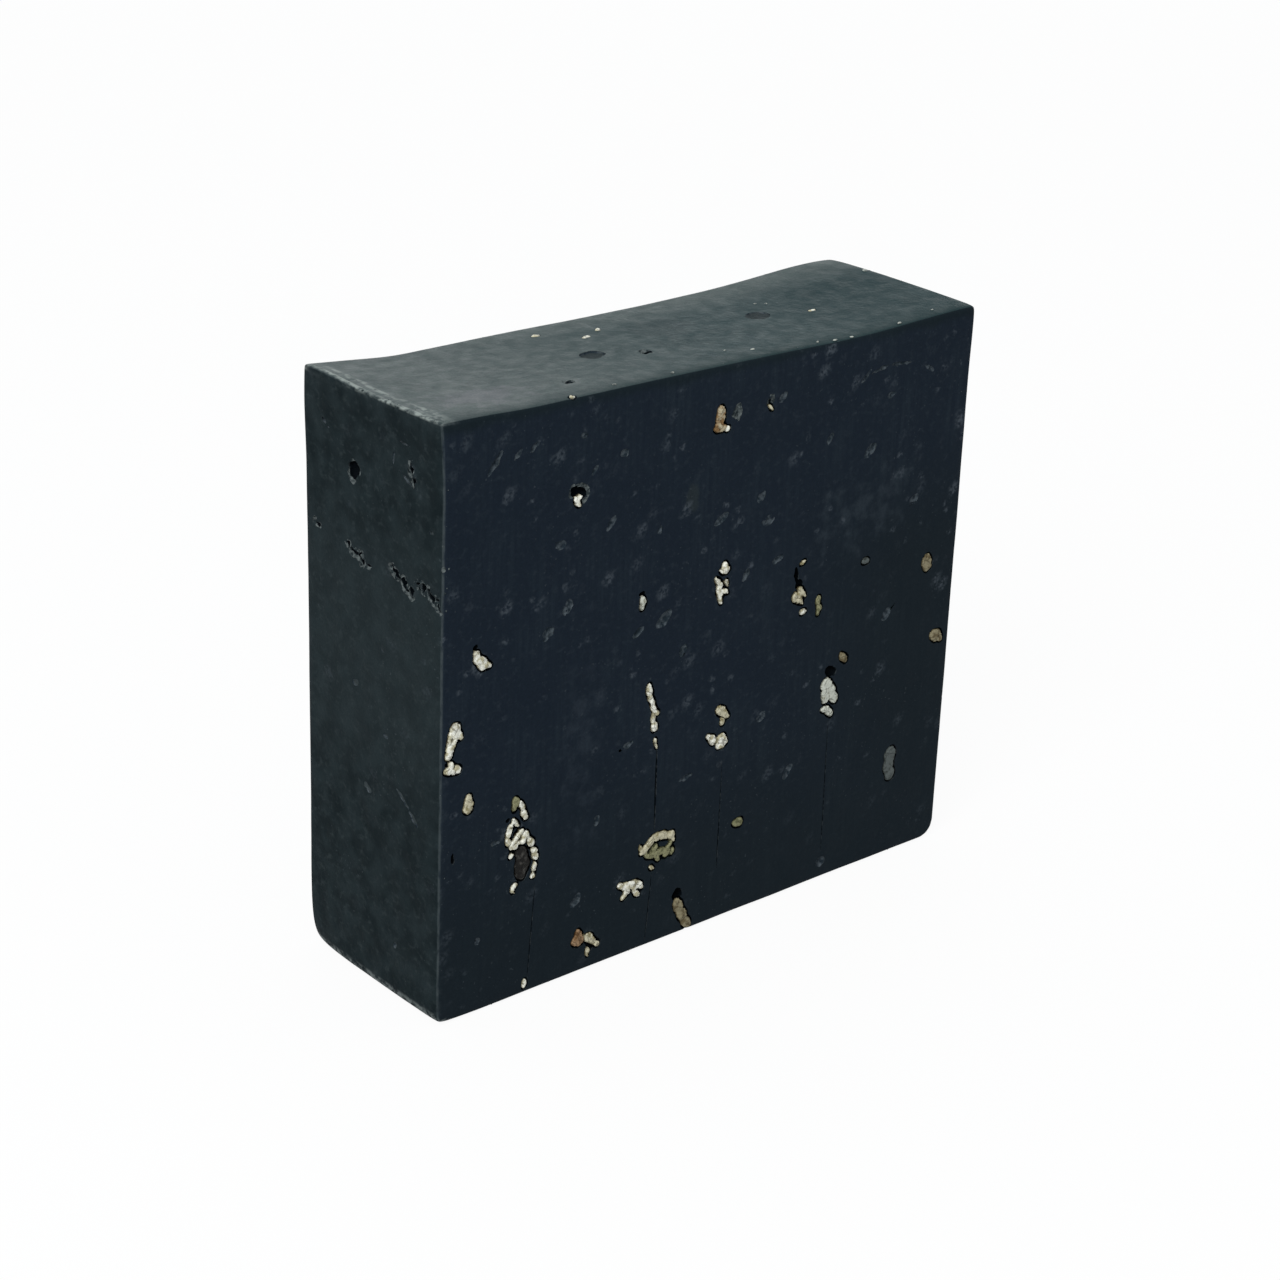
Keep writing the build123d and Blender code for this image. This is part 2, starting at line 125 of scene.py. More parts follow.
# An oat's lumps: each one's middle, across and up from the middle of what shows of the CAD
# flake, its length, its width and its turn. All rows below are in millimetres and degrees.
OAT_LUMPS = {
    "oat_top_skin_left": ((2.1, 2.2, 1.4, 0.6, 0),),
    "oat_top_skin_middle": ((2.3, 2.5, 1.4, 0.6, 10),),
    "oat_top_skin_right": ((2.3, 2.4, 1.2, 0.5, 0),),
    "oat_comma": (
        (-0.5, 0.4, 1.1, 0.9, 80), (-0.3, -0.3, 1.7, 1.1, -60), (0.2, -0.9, 1.8, 1.1, -35),
        (0.9, -1.1, 1.3, 0.8, 0), (0.3, -0.55, 1.4, 1.1, -30),
    ),
    "oat_club_top": (
        (0.1, 1.4, 1.3, 1.3, 90), (0.3, 0.7, 1.3, 1.2, 0), (0.7, 0.4, 1, 0.5, -60),
        (-0.65, 0.3, 1.8, 0.5, 75), (0, -0.1, 1.5, 0.4, 70), (-0.55, -0.8, 1.3, 1, 75),
        (-0.75, -1.6, 1.1, 0.8, 60),
    ),
    "oat_club_foot": (
        (-0.35, 0.05, 0.9, 0.8, 0), (0.1, 0.65, 0.9, 0.6, 90), (0.85, -0.05, 1.1, 0.9, 60),
        (0.25, -0.2, 1.4, 0.7, 0),
    ),
    "oat_teardrop": ((0.2, 0.8, 1.1, 0.8, 90), (0.1, 0.1, 1.7, 1.3, 90), (0.05, -0.4, 1.4, 1.4, 0)),
    "oat_pair_hull": ((-0.1, 0.2, 1.5, 1, 100), (-0.3, -0.4, 1.1, 0.7, 80)),
    "oat_pair_flake": ((-0.25, 0.8, 1.7, 0.7, -60), (0.15, -0.2, 0.9, 0.6, -40), (0.25, -0.6, 1.1, 0.7, -50)),
    "oat_cluster_top": (
        (0.5, 0.2, 1.2, 0.8, 60), (0.3, -0.5, 1, 0.7, 80), (0.3, -1.4, 1.2, 0.65, 95),
        (1.3, 0.7, 1.6, 0.66, -52),
    ),
    "oat_cluster_middle": (
        (-1.1, -0.4, 1.4, 1.05, 35), (-0.65, 0.35, 1.4, 0.65, 52), (-0.15, 0.95, 0.8, 0.5, 60),
        (0.25, 0.05, 1.5, 0.6, 80), (-0.4, -0.3, 0.8, 0.6, 0), (-1.5, -1.6, 0.7, 0.5, 30),
    ),
    "oat_cluster_chain": (
        (-1.2, 2.9, 1.3, 0.55, -60), (-0.7, 1.95, 1.5, 0.8, -60), (-0.08, 0.55, 1, 0.75, -75),
        (0.05, -0.1, 1.1, 0.95, 80), (-0.1, -1.5, 1.2, 0.68, 82), (-0.35, -2.5, 0.7, 0.5, 60),
    ),
    "oat_cluster_bran": ((0.4, -0.5, 3.8, 2, 85), (0.3, 1.1, 1.5, 1.4, 0)),
    "oat_cluster_tail": ((0.1, 0.2, 1, 0.4, 10), (-0.15, -0.2, 0.9, 0.4, 95), (0.05, -0.6, 0.6, 0.35, -40)),
    "oat_long_sliver": (
        (-0.6, 2.2, 1.9, 0.8, -78), (-0.25, 1, 1.9, 0.8, -70), (0.15, -0.2, 1.6, 0.7, -80),
        (0.6, -0.85, 0.7, 0.6, 20), (0.1, -1.5, 1.5, 0.6, 90), (0.3, -2.6, 1.4, 0.85, 90),
    ),
    "oat_sliver_drop": ((0.05, 0.25, 0.9, 0.5, -75), (0.2, -0.35, 0.8, 0.35, -80)),
    "oat_amber_cap": ((0.05, 0.1, 2, 1.2, -20), (0.75, -0.5, 1.6, 0.8, -35), (0.25, -1.4, 1, 0.6, 90)),
    "oat_lobe_left": ((-0.25, 0.3, 1.6, 1, -35), (0.05, -0.1, 1.3, 0.9, -30)),
    "oat_lobe_right": ((0.3, 0.3, 1.7, 1.4, -35), (0.1, -0.3, 1.5, 1, 0), (0.9, -0.2, 0.8, 0.7, 0)),
    "oat_ribbed_arch": (
        (-2.65, -1.45, 1.4, 0.4, 105), (-2.35, -2.05, 0.9, 0.5, 20), (-1.85, -1.75, 1.6, 0.75, 55),
        (-1.15, -1, 1.8, 0.95, 50), (-0.25, -0.6, 1.9, 1, 12), (0.95, -0.75, 2.1, 1.15, -8),
        (2, -1.05, 1.4, 1.15, -30), (2.4, -1.6, 0.8, 0.5, -70),
    ),
    "oat_ribbed_flake": (
        (-0.75, 0.4, 1.9, 0.7, 55), (-1.25, -0.2, 1.9, 0.6, -20), (-0.25, -0.7, 1.3, 0.5, -35),
        (1.65, 0.3, 1.6, 0.6, 50), (1.2, -0.2, 1, 0.4, 30), (2.25, -0.6, 0.9, 0.4, 60),
        (-1.9, 0.3, 0.9, 0.4, 80), (0.1, -0.05, 2.2, 0.9, 12), (1.4, -0.5, 1.2, 0.7, 30),
    ),
    "oat_ribbed_crumb": ((0, 0.4, 1, 0.5, -35),),
    "oat_crab_left": (
        (-0.35, 0.45, 1.3, 0.8, -10), (0.45, 0.15, 1.6, 1.1, -25), (0.05, -1.05, 1.1, 0.7, 15),
        (0.55, -0.55, 1, 0.9, 70),
    ),
    "oat_crab_right": (
        (-0.5, 0.2, 1.9, 1.15, -20), (0.4, 0, 1.3, 0.8, -55), (-0.2, -0.9, 1.4, 0.7, -50),
        (-0.8, 0.5, 1.4, 0.7, -15),
    ),
    "oat_tan_flake": (
        (-0.05, -0.45, 1.9, 1.5, 60), (-0.35, -0.8, 1.2, 1, 20), (0.55, -0.75, 1, 0.9, -20),
        (-0.15, 0.35, 0.9, 0.5, 70),
    ),
    "oat_tan_tail": (
        (-0.6, 0.5, 1.6, 1.2, -35), (0, -0.05, 1.8, 1, -45), (0.6, -0.65, 1, 0.6, -50),
        (-0.7, -1.1, 0.8, 0.45, 90), (-0.7, -1.7, 0.6, 0.3, 90),
    ),
    "oat_base_edge": (
        (-0.95, 1.5, 2.2, 1.5, -60), (-0.35, 0.3, 2.2, 1.5, -60), (0.35, -1, 1.9, 1.3, -55),
        (0.65, -1.5, 1, 1, 0),
    ),
    "oat_under_tear": (
        (-0.35, -0.25, 1.6, 0.7, 80), (0.15, -0.45, 1.5, 0.6, 95), (0.65, 0.25, 1.3, 0.8, -60),
        (1.05, -0.05, 1.2, 0.5, -60), (0.65, -0.85, 1.5, 0.45, -65),
    ),
    "oat_tear_tail": ((0.05, -0.25, 1.1, 0.8, 0),),
    "oat_olive_sliver": ((0.25, 0.3, 1.3, 0.6, 80), (0.4, -0.6, 1.1, 0.6, 100), (0.3, -1.25, 0.8, 0.35, 90)),
    "oat_large_white": (
        (-0.3, 1.1, 2, 1.6, 20), (0.2, 0.1, 2.6, 2.2, -50), (1, -0.8, 2.2, 1.4, -50),
        (-0.4, -0.5, 1.8, 1.2, 90),
    ),
    "oat_large_foot": ((0, 0.5, 1.8, 0.9, -15), (0.65, 0, 1.6, 0.9, -50)),
    "oat_bran_bead": ((0.25, -0.3, 2, 1, -50),),
    "oat_far_upper": ((0.45, 0, 2, 1.7, 90), (0.5, -0.6, 1.5, 1.4, 0)),
    "oat_far_lower": ((-0.1, -0.1, 2.2, 1.7, -20), (0.55, -0.5, 1.6, 1.3, -30)),
    "oat_far_veiled": ((0.45, 1, 2.4, 1.9, 80), (0.3, -0.5, 2.6, 1.8, 95), (0.7, -1.6, 1.8, 1.6, 60)),
    "oat_amber_bead": ((0.3, -0.1, 1.7, 1.2, 0),),
    "oat_mid_speck": ((0.25, -0.25, 1.3, 0.8, 0),),
    "oat_base_speck": ((0.1, 0, 1.3, 0.5, 88),),
    "oat_top_centre": (
        (0.45, 1.05, 1.3, 1.2, 90), (0.35, 0.25, 1.6, 1.3, 90), (0.25, -0.85, 1.5, 1.2, 10),
        (0.85, -1.05, 1, 0.8, 20),
    ),
    "oat_top_crumb": ((0.1, 0.4, 0.9, 0.6, 20),),
    "oat_top_speck": ((0.25, 0.1, 0.9, 0.4, -50),),
    "oat_pit_rim": ((-0.35, 0.1, 1.3, 0.5, -55), (0, 0.4, 0.9, 0.35, 40), (-0.1, -0.4, 0.8, 0.4, -30)),
    "oat_column_kite": ((0.2, 0.2, 1.1, 0.8, 70), (0.3, -0.4, 1.5, 0.9, 10), (-0.25, -0.5, 0.8, 0.5, -20)),
    "oat_column_foot": (
        (-0.05, 0.85, 1.9, 0.7, -58), (0.15, -0.25, 1.9, 0.75, -80), (0.95, -0.45, 1.3, 0.5, -30),
        (0.35, -1.35, 1.4, 0.5, -70), (1.25, 0.5, 1.1, 0.3, -75),
    ),
    "oat_upper_dash": ((0.15, 0.35, 1.1, 0.8, 95), (0.1, -0.35, 1, 0.7, 80)),
}

# Hollows left by air and by lost flakes: across and up from the face's lower left corner,
# length, width, turn, depth.
HOLLOWS = {
    "front": (
        (4.3, 44.8, 0.9, 0.7, 60, 0.8), (0.65, 32, 0.8, 0.7, 0, 0.7), (1.75, 31.75, 0.6, 0.5, 0, 0.6),
        (9.2, 22.8, 0.7, 0.6, 0, 0.8), (10.4, 21.1, 1.4, 0.5, 45, 0.7), (27.9, 45.5, 0.9, 0.7, 0, 0.8),
        (35.1, 5.3, 1.8, 1.6, 70, 3), (52.1, 42.3, 2.2, 0.8, 98, 1.2), (52.6, 41, 1.5, 1.2, 90, 1.2),
        (58.9, 28.2, 2.1, 1.4, -20, 1.1), (1.5, 20.5, 1.5, 0.5, 90, 0.5),
    ),
    "back": ((49.5, 44.5, 2.6, 1.3, 92, 1), (60.6, 18.5, 1.9, 1.5, 0, 0.9)),
}

# The same with a torn, paler mouth.
TORN_HOLLOWS = {
    "front": (
        (18.3, 59.4, 2.2, 1.5, -12, 1.1), (17.7, 59.9, 1.1, 0.8, 60, 0.8), (41.2, 64.3, 1.8, 0.6, 72, 0.12),
        (46.3, 64.8, 1, 0.4, 70, 0.3),
    ),
    "left": (
        (9.3, 61.1, 2.1, 1.7, 70, 1), (9, 61.7, 1.5, 0.9, 20, 0.8), (19.65, 64.4, 1.8, 0.4, -86, 0.7),
        (20.1, 62.9, 1.5, 0.45, -70, 0.7), (2.3, 53, 1, 0.5, -30, 0.4), (8.2, 52.4, 1.1, 0.45, -50, 0.6),
        (9.2, 51.9, 1.4, 0.6, -20, 0.8), (10.3, 51.8, 1, 0.4, 40, 0.5), (10.7, 51.3, 1.4, 0.5, -60, 0.8),
        (11.8, 51.1, 1.1, 0.35, -10, 0.5), (16.4, 52.1, 1, 0.5, -80, 0.7), (17.2, 51.6, 1.5, 0.6, -30, 0.9),
        (18.2, 51.4, 1, 0.35, 30, 0.5), (18.6, 50.8, 1.6, 0.65, -40, 0.9), (19.8, 50.4, 1.2, 0.7, -70, 0.9),
        (21, 51.8, 1, 0.4, 20, 0.6), (21.9, 51.5, 1.3, 0.55, -50, 0.8), (22.8, 51.6, 0.9, 0.35, 30, 0.5),
        (23.3, 50.9, 1.4, 0.6, -45, 0.8), (24.4, 51, 1, 0.35, 0, 0.6), (24.7, 50.2, 1.1, 0.4, -80, 0.6),
    ),
    "right": (
        (7.6, 51.9, 2.8, 0.8, 14, 0.7), (16.3, 51.4, 2.2, 0.7, -10, 0.6), (12.2, 27.1, 1.2, 0.9, 0, 0.4),
    ),
    "back": ((30.3, 59.8, 2.2, 1.5, 14, 0.9),),
    "top": ((35.5, 9.3, 1.4, 1.1, 0, 0.7), (20.8, 5.2, 1, 0.8, 0, 0.6)),
}

# Lines ploughed down a cut face by what the wire caught: start and end, across and up; width.
DRAG_LINES = {
    "front": (
        (31, 26, 31.1, 14.8, 0.32), (30.9, 9.3, 30.2, 0.5, 0.18), (13.2, 13.4, 12.3, 1.6, 0.2),
        (41.5, 21.6, 41.4, 7, 0.16), (59, 21.5, 59.2, 4, 0.16),
    ),
    "back": ((23.2, 48.1, 23.7, 33.5, 0.3), (62.2, 11.2, 61.8, 2.1, 0.2), (49.8, 38.8, 49.3, 23.5, 0.2)),
}

# Shallow dents: across, up, length, width, turn and, where it isn't 0.2, depth.
DENTS = {
    "front": (
        (61.7, 65, 1.7, 0.35, 42, 0.25), (64, 65.5, 2.4, 0.28, 12, 0.22), (67.5, 65.6, 2.6, 0.28, -3),
        (72.5, 64.2, 1.6, 0.45, -30, 0.25), (48.2, 64.9, 1.4, 0.7, 40, 0.25),
        (52.5, 16.7, 1.7, 0.8, 50, 0.22), (59.2, 2.4, 1.4, 1, 20, 0.25), (14.3, 44, 1.6, 0.9, 40),
        (23, 55, 1.7, 0.6, 50, 0.25), (39.5, 52, 1.9, 0.7, 30), (47, 50.3, 1.6, 0.9, 15),
        (45.7, 53.5, 1.4, 0.7, 60), (34.5, 37, 1.3, 0.7, 60), (31.3, 41.7, 2.3, 1, 40, 0.3),
        (15.8, 54, 1.3, 0.8, 0), (6.7, 65.2, 2.8, 0.5, 52, 0.25), (9.8, 65.6, 1.5, 0.4, 48),
        (12, 66, 1.1, 0.4, 40), (24.6, 62.8, 0.9, 0.7, 0, 0.25), (18.8, 65.9, 0.8, 0.4, 0),
        (17, 46.5, 1.6, 0.9, 60), (27.5, 41, 1.7, 0.5, 30, 0.25), (30.2, 52.7, 1, 0.5, 70),
        (43.8, 44.2, 1.3, 0.6, 60), (48.9, 45, 1.4, 0.5, 20), (20.4, 61.6, 1.1, 0.4, 50),
        (47.5, 25.3, 1.3, 0.8, 30), (26.2, 27.2, 1.7, 0.5, 20), (35.6, 20.6, 1.7, 0.5, 10),
        (22.1, 19, 1.1, 0.6, 60), (19.3, 9.6, 1.6, 0.8, 45), (7.4, 20.6, 1, 0.5, 0), (68, 33.6, 1.6, 0.8, 40),
        (71.4, 47.8, 1.5, 0.8, 30), (63.2, 55.6, 1.9, 0.8, 40), (66.2, 62, 1.3, 0.5, 10),
        (56.3, 58.4, 1.2, 0.5, 60), (5, 9, 0.9, 0.5, 80),
    ),
    "left": (
        (18.5, 66.8, 2, 0.2, -5), (16.7, 65, 1.7, 0.2, 85), (18.9, 62.9, 2.3, 0.22, -28),
        (15.3, 32, 0.6, 0.4, 0, 0.3), (17.4, 6.9, 0.7, 0.4, 60, 0.3), (9.5, 36.4, 0.9, 0.5, 20),
        (4.2, 65.4, 1.4, 0.4, -40, 0.25), (23.3, 58.2, 0.7, 0.4, 0), (11.8, 24.4, 1.3, 0.6, -30),
        (18.6, 25.6, 2.4, 0.4, -35), (20.6, 23.9, 1.9, 0.4, -40),
    ),
    "right": ((6, 40, 1.6, 0.9, 20, 0.25), (18, 24, 1.4, 0.8, 60), (10.5, 62, 1.2, 0.8, 0, 0.25)),
    "back": (
        (12, 58, 1.8, 0.8, 40, 0.25), (33, 39, 1.5, 0.7, 20), (52, 29, 1.7, 0.8, 60), (70, 63, 1.4, 0.6, 10),
        (41, 12, 1.5, 0.8, 30), (27, 24, 1.3, 0.7, 0), (66, 36, 1.8, 0.6, 50), (18, 16, 1.2, 0.6, 70),
        (56, 54, 1.4, 0.7, 15),
    ),
    "top": ((29.8, 12, 2.7, 1.9, 20, 0.4), (56.3, 13.2, 2.7, 2, 10, 0.3)),
}

# Bits that broke off a flake and lie near it: face, across, up, length, width, turn.
STRAY_BITS = {
    "oat_under_tear": (("front", 53.1, 43.65, 1, 0.3, 25),),
    "oat_top_skin_middle": (("top", 37, 19.7, 0.8, 0.5, 30),),
    "oat_top_crumb": (("top", 17.4, 0.5, 0.8, 0.5, 10),),
}

# Specks of starch along the front of the poured top: across, along, length, width, turn.
STARCH_SPECKS = (
    (56.7, 0.6, 0.8, 0.4, 10), (59.3, 0.5, 0.6, 0.4, 0), (67.5, 0.8, 0.8, 0.4, 20), (74.2, 1.9, 0.5, 0.3, 0),
    (45.9, 3, 0.6, 0.35, 0), (54.4, 1.1, 0.5, 0.3, 30), (59.5, 17.1, 0.5, 0.3, 0), (60.6, 16.4, 0.4, 0.3, 0),
    (23.9, 1.3, 0.5, 0.3, 0), (32, 1, 0.5, 0.3, 0), (43.1, 4.5, 0.45, 0.3, 0), (79.2, 18.2, 0.9, 0.6, 60),
)

# Rims of the slice, end to end: how many nicks and crumbs each has, and the largest's length.
WORN_RIMS = (
    ((LEFT - 0.35, BACK, 70.8), (LEFT - 0.35, FRONT, 70.8), 2, 16, 0.45),
    ((RIGHT + 0.35, BACK, 71.1), (RIGHT + 0.35, FRONT, 70.8), 14, 12, 0.6),
    ((LEFT, FRONT, 70.65), (0, FRONT, 70.35), 5, 4, 0.4),
    ((0, FRONT, 70.35), (RIGHT, FRONT, 70.4), 9, 5, 0.45),
    ((LEFT, BACK, 70.5), (0, BACK, 69.9), 10, 3, 0.6),
    ((0, BACK, 69.9), (RIGHT, BACK, 70.9), 10, 4, 0.6),
    ((LEFT - 0.45, FRONT, 3), (LEFT - 0.25, FRONT, 49), 12, 8, 0.4),
    ((LEFT - 0.15, FRONT, 49.5), (LEFT - 0.05, FRONT, 57.5), 16, 6, 1),
    ((LEFT, FRONT, 58), (LEFT - 0.2, FRONT, 69.5), 6, 4, 0.5),
    ((LEFT, BACK, 2), (LEFT, BACK, 69), 14, 6, 0.5),
    ((RIGHT, FRONT, 2), (RIGHT, FRONT, 69), 14, 6, 0.5),
    ((RIGHT, BACK, 2), (RIGHT, BACK, 69), 14, 6, 0.5),
    ((LEFT, FRONT, 0.1), (RIGHT, FRONT, 0.1), 22, 10, 0.6),
    ((LEFT, BACK, 0.1), (RIGHT, BACK, 0.1), 16, 8, 0.6),
    ((LEFT, BACK, 0.5), (LEFT - 0.3, FRONT, 0.5), 18, 26, 0.6),
)

# Corners rubbed round: side, front or back, bottom or top, how far each is pressed in.
RUBBED_CORNERS = (
    (-1, 1, 0, 0.75), (-1, 1, 1, 0.8), (1, 1, 1, 0.3), (1, -1, 1, 0.2), (-1, -1, 1, 0.15),
    (1, 1, 0, 0.2), (-1, -1, 0, 0.12),
)

# Finishes of cut oat: pale starch, tan bran, deep shade, seed, and how toasted it is.
OAT_COLOURS = {
    "oat_starch_white": ((0.94, 0.92, 0.81), (0.5, 0.455, 0.3), (0.07, 0.052, 0.024), 101, 0.75),
    "oat_cream_flake": ((0.62, 0.57, 0.41), (0.29, 0.25, 0.135), (0.08, 0.06, 0.025), 111, 0.6),
    "oat_amber_flake": ((0.5, 0.43, 0.29), (0.24, 0.14, 0.06), (0.07, 0.04, 0.018), 121, 0.8),
    "oat_olive_flake": ((0.27, 0.26, 0.145), (0.13, 0.13, 0.065), (0.05, 0.05, 0.02), 131, 0.6),
    "oat_dark_bran": ((0.09, 0.086, 0.077), (0.011, 0.0102, 0.0096), (0.005, 0.005, 0.005), 141, 1.1),
    "oat_veiled_flake": ((0.098, 0.112, 0.108), (0.064, 0.074, 0.068), (0.02, 0.022, 0.02), 151, 0.5),
    "oat_toasted_flake": ((0.36, 0.23, 0.13), (0.17, 0.09, 0.038), (0.06, 0.03, 0.012), 161, 0.7),
    "oat_shaded_flake": ((0.29, 0.25, 0.155), (0.13, 0.1, 0.052), (0.04, 0.03, 0.015), 171, 0.7),
    "oat_greyed_flake": ((0.62, 0.63, 0.55), (0.31, 0.3, 0.23), (0.07, 0.06, 0.04), 181, 0.5),
}

# Which finish the oats of each slot take, and which oats take another one.
SLOT_FINISH = {
    "oat_white": "oat_starch_white", "oat_cream": "oat_cream_flake", "oat_amber": "oat_amber_flake",
    "oat_olive": "oat_olive_flake", "oat_bran": "oat_dark_bran",
}
OWN_FINISH = {
    "oat_veiled_flake": ("oat_far_veiled", "oat_mid_speck"),
    "oat_toasted_flake": ("oat_tan_flake",),
    "oat_cream_flake": ("oat_tan_tail", "oat_amber_cap"),
    "oat_olive_flake": ("oat_amber_bead",),
    "oat_greyed_flake": ("oat_large_white", "oat_large_foot", "oat_upper_dash"),
    "oat_shaded_flake": ("oat_base_edge", "oat_bran_bead", "oat_far_upper", "oat_far_lower"),
}


# ---------------------------------------------------------------- small helpers


def deselect():
    if bpy.context.object and bpy.context.object.mode != "OBJECT":
        bpy.ops.object.mode_set(mode="OBJECT")
    bpy.ops.object.select_all(action="DESELECT")


def activate(*objects):
    """Selects these objects alone and makes the first one active."""
    deselect()
    for item in objects:
        item.select_set(True)
    bpy.context.view_layer.objects.active = objects[0]


def apply_modifier(item, kind, **settings):
    """Adds a modifier, sets it and applies it."""
    activate(item)
    modifier = item.modifiers.new(kind.lower(), kind)
    for key, value in settings.items():
        setattr(modifier, key, value)
    bpy.ops.object.modifier_apply(modifier=modifier.name)


def copy_of(item, name):
    """A copy with its own mesh and without finishes."""
    twin = item.copy()
    twin.data = item.data.copy()
    twin.data.materials.clear()
    twin.name = name
    bpy.context.scene.collection.objects.link(twin)
    return twin


def joined(items, name):
    activate(*items)
    if len(items) > 1:
        bpy.ops.object.join()
    whole = bpy.context.object
    whole.name = name
    return whole


def clean(item):
    """Merges doubles and turns every face outwards."""
    activate(item)
    bpy.ops.object.mode_set(mode="EDIT")
    bpy.ops.mesh.select_all(action="SELECT")
    bpy.ops.mesh.remove_doubles(threshold=1e-6)
    bpy.ops.mesh.normals_make_consistent(inside=False)
    bpy.ops.object.mode_set(mode="OBJECT")


def noise_texture(name, size, depth=2):
    """A cloud texture with lumps of a size in millimetres."""
    texture = bpy.data.textures.new(name, "CLOUDS")
    texture.noise_scale = size * MM
    texture.noise_depth = depth
    return texture


def roughen(item, texture, height, middle=0.5):
    """Moves the surface in and out along its normals by a height in millimetres."""
    apply_modifier(item, "DISPLACE", texture=texture, strength=height * MM, mid_level=middle)


def remesh(item, size):
    apply_modifier(item, "REMESH", mode="VOXEL", voxel_size=size * MM, use_smooth_shade=True)


def select_where(item, test, kind="VERT"):
    """In edit mode, selects just the vertices or edges whose ends pass a test."""
    activate(item)
    bpy.ops.object.mode_set(mode="EDIT")
    bpy.ops.mesh.select_mode(type=kind)
    bpy.ops.mesh.select_all(action="DESELECT")
    bpy.ops.object.mode_set(mode="OBJECT")
    mesh = item.data
    if kind == "VERT":
        for vertex in mesh.vertices:
            vertex.select = test(vertex.co / MM)
    else:
        for edge in mesh.edges:
            edge.select = test(*(mesh.vertices[i].co / MM for i in edge.vertices))
    bpy.ops.object.mode_set(mode="EDIT")


def cut_across(item, axis, places):
    """Bisects a mesh all through at places along an axis, in millimetres."""
    activate(item)
    bpy.ops.object.mode_set(mode="EDIT")
    normal = [float(i == axis) for i in range(3)]
    for place in places:
        bpy.ops.mesh.select_all(action="SELECT")
        bpy.ops.mesh.bisect(plane_co=[place * MM * part for part in normal], plane_no=normal)
    bpy.ops.object.mode_set(mode="OBJECT")


def between(stations, values, at):
    """Straight-line reading of a row of values."""
    for i in range(len(stations) - 1):
        if at <= stations[i + 1]:
            part = (at - stations[i]) / (stations[i + 1] - stations[i])
            return values[i] + part * (values[i + 1] - values[i])
    return values[-1]


def top_height(across, along):
    """Height of the poured top at shares of the width and of the thickness."""
    rows = [between(STATIONS, dip, across) for dip in (FRONT_DIP, MIDDLE_DIP, BACK_DIP)]
    return HEIGHT - between((0.0, 0.5, 1.0), rows, along)


def left_bulge(along, up):
    """How far the left wall stands out at a share of the thickness and a height."""
    rows = [between(BULGE_ROWS, bulge, up) for bulge in (FRONT_BULGE, MIDDLE_BULGE, BACK_BULGE)]
    return between((0.0, 0.5, 1.0), rows, along)


def wall_reach(face, across, up):
    """How far a mould wall lies from the middle, with its bulge and its flare at the lip."""
    flare = LIP_FLARE * max(0.0, (up - HEIGHT + LIP_HEIGHT) / LIP_HEIGHT) ** 2
    bulge = left_bulge(1 - across / THICKNESS, up) if face == "left" else 0.0
    return WALL + flare + bulge


def face_place(face, across, up, depth=0.0):
    """A point on a face, in metres, and how far that face is turned round from the front."""
    if face == "top":
        height = top_height(across / (2 * WALL), up / THICKNESS)
        return Vector((across + LEFT, up + FRONT, height - depth)) * MM, None
    reach = wall_reach(face, across, up) - depth
    x, y, turn = {
        "front": (across + LEFT, FRONT + depth, 0.0),
        "back": (RIGHT - across, BACK - depth, math.pi),
        "left": (-reach, BACK - across, -math.pi / 2),
        "right": (reach, across + FRONT, math.pi / 2),
    }[face]
    return Vector((x, y, up)) * MM, turn


def ball(place, turning, size, detail):
    """A flattened ball: its place in metres, its turning and its three sizes in millimetres."""
    bpy.ops.mesh.primitive_ico_sphere_add(
        subdivisions=detail, radius=1, location=place, rotation=turning.to_euler(),
        scale=Vector(size) / 2 * MM,
    )
    item = bpy.context.object
    bpy.ops.object.transform_apply(location=True, rotation=True, scale=True)
    return item


def lump(face, across, up, length, width, turn, height, depth, detail=2):
    """A flattened ball lying in a face, its middle sunk in it by a depth."""
    place, facing = face_place(face, across, up, depth)
    tilt = Matrix.Rotation(math.radians(90), 4, "X")
    stand = Matrix.Identity(4) if facing is None else Matrix.Rotation(facing, 4, "Z") @ tilt
    lie = stand @ Matrix.Rotation(math.radians(turn), 4, "Z")
    return ball(place, lie, (length, width, height), detail)


# ---------------------------------------------------------------- the slab of soap


def shift_where(slab, test, x=0.0, z=0.0):
    """Moves the cage's points that pass a test, in millimetres."""
    select_where(slab, test)
    bpy.ops.transform.translate(value=(x * MM, 0, z * MM))


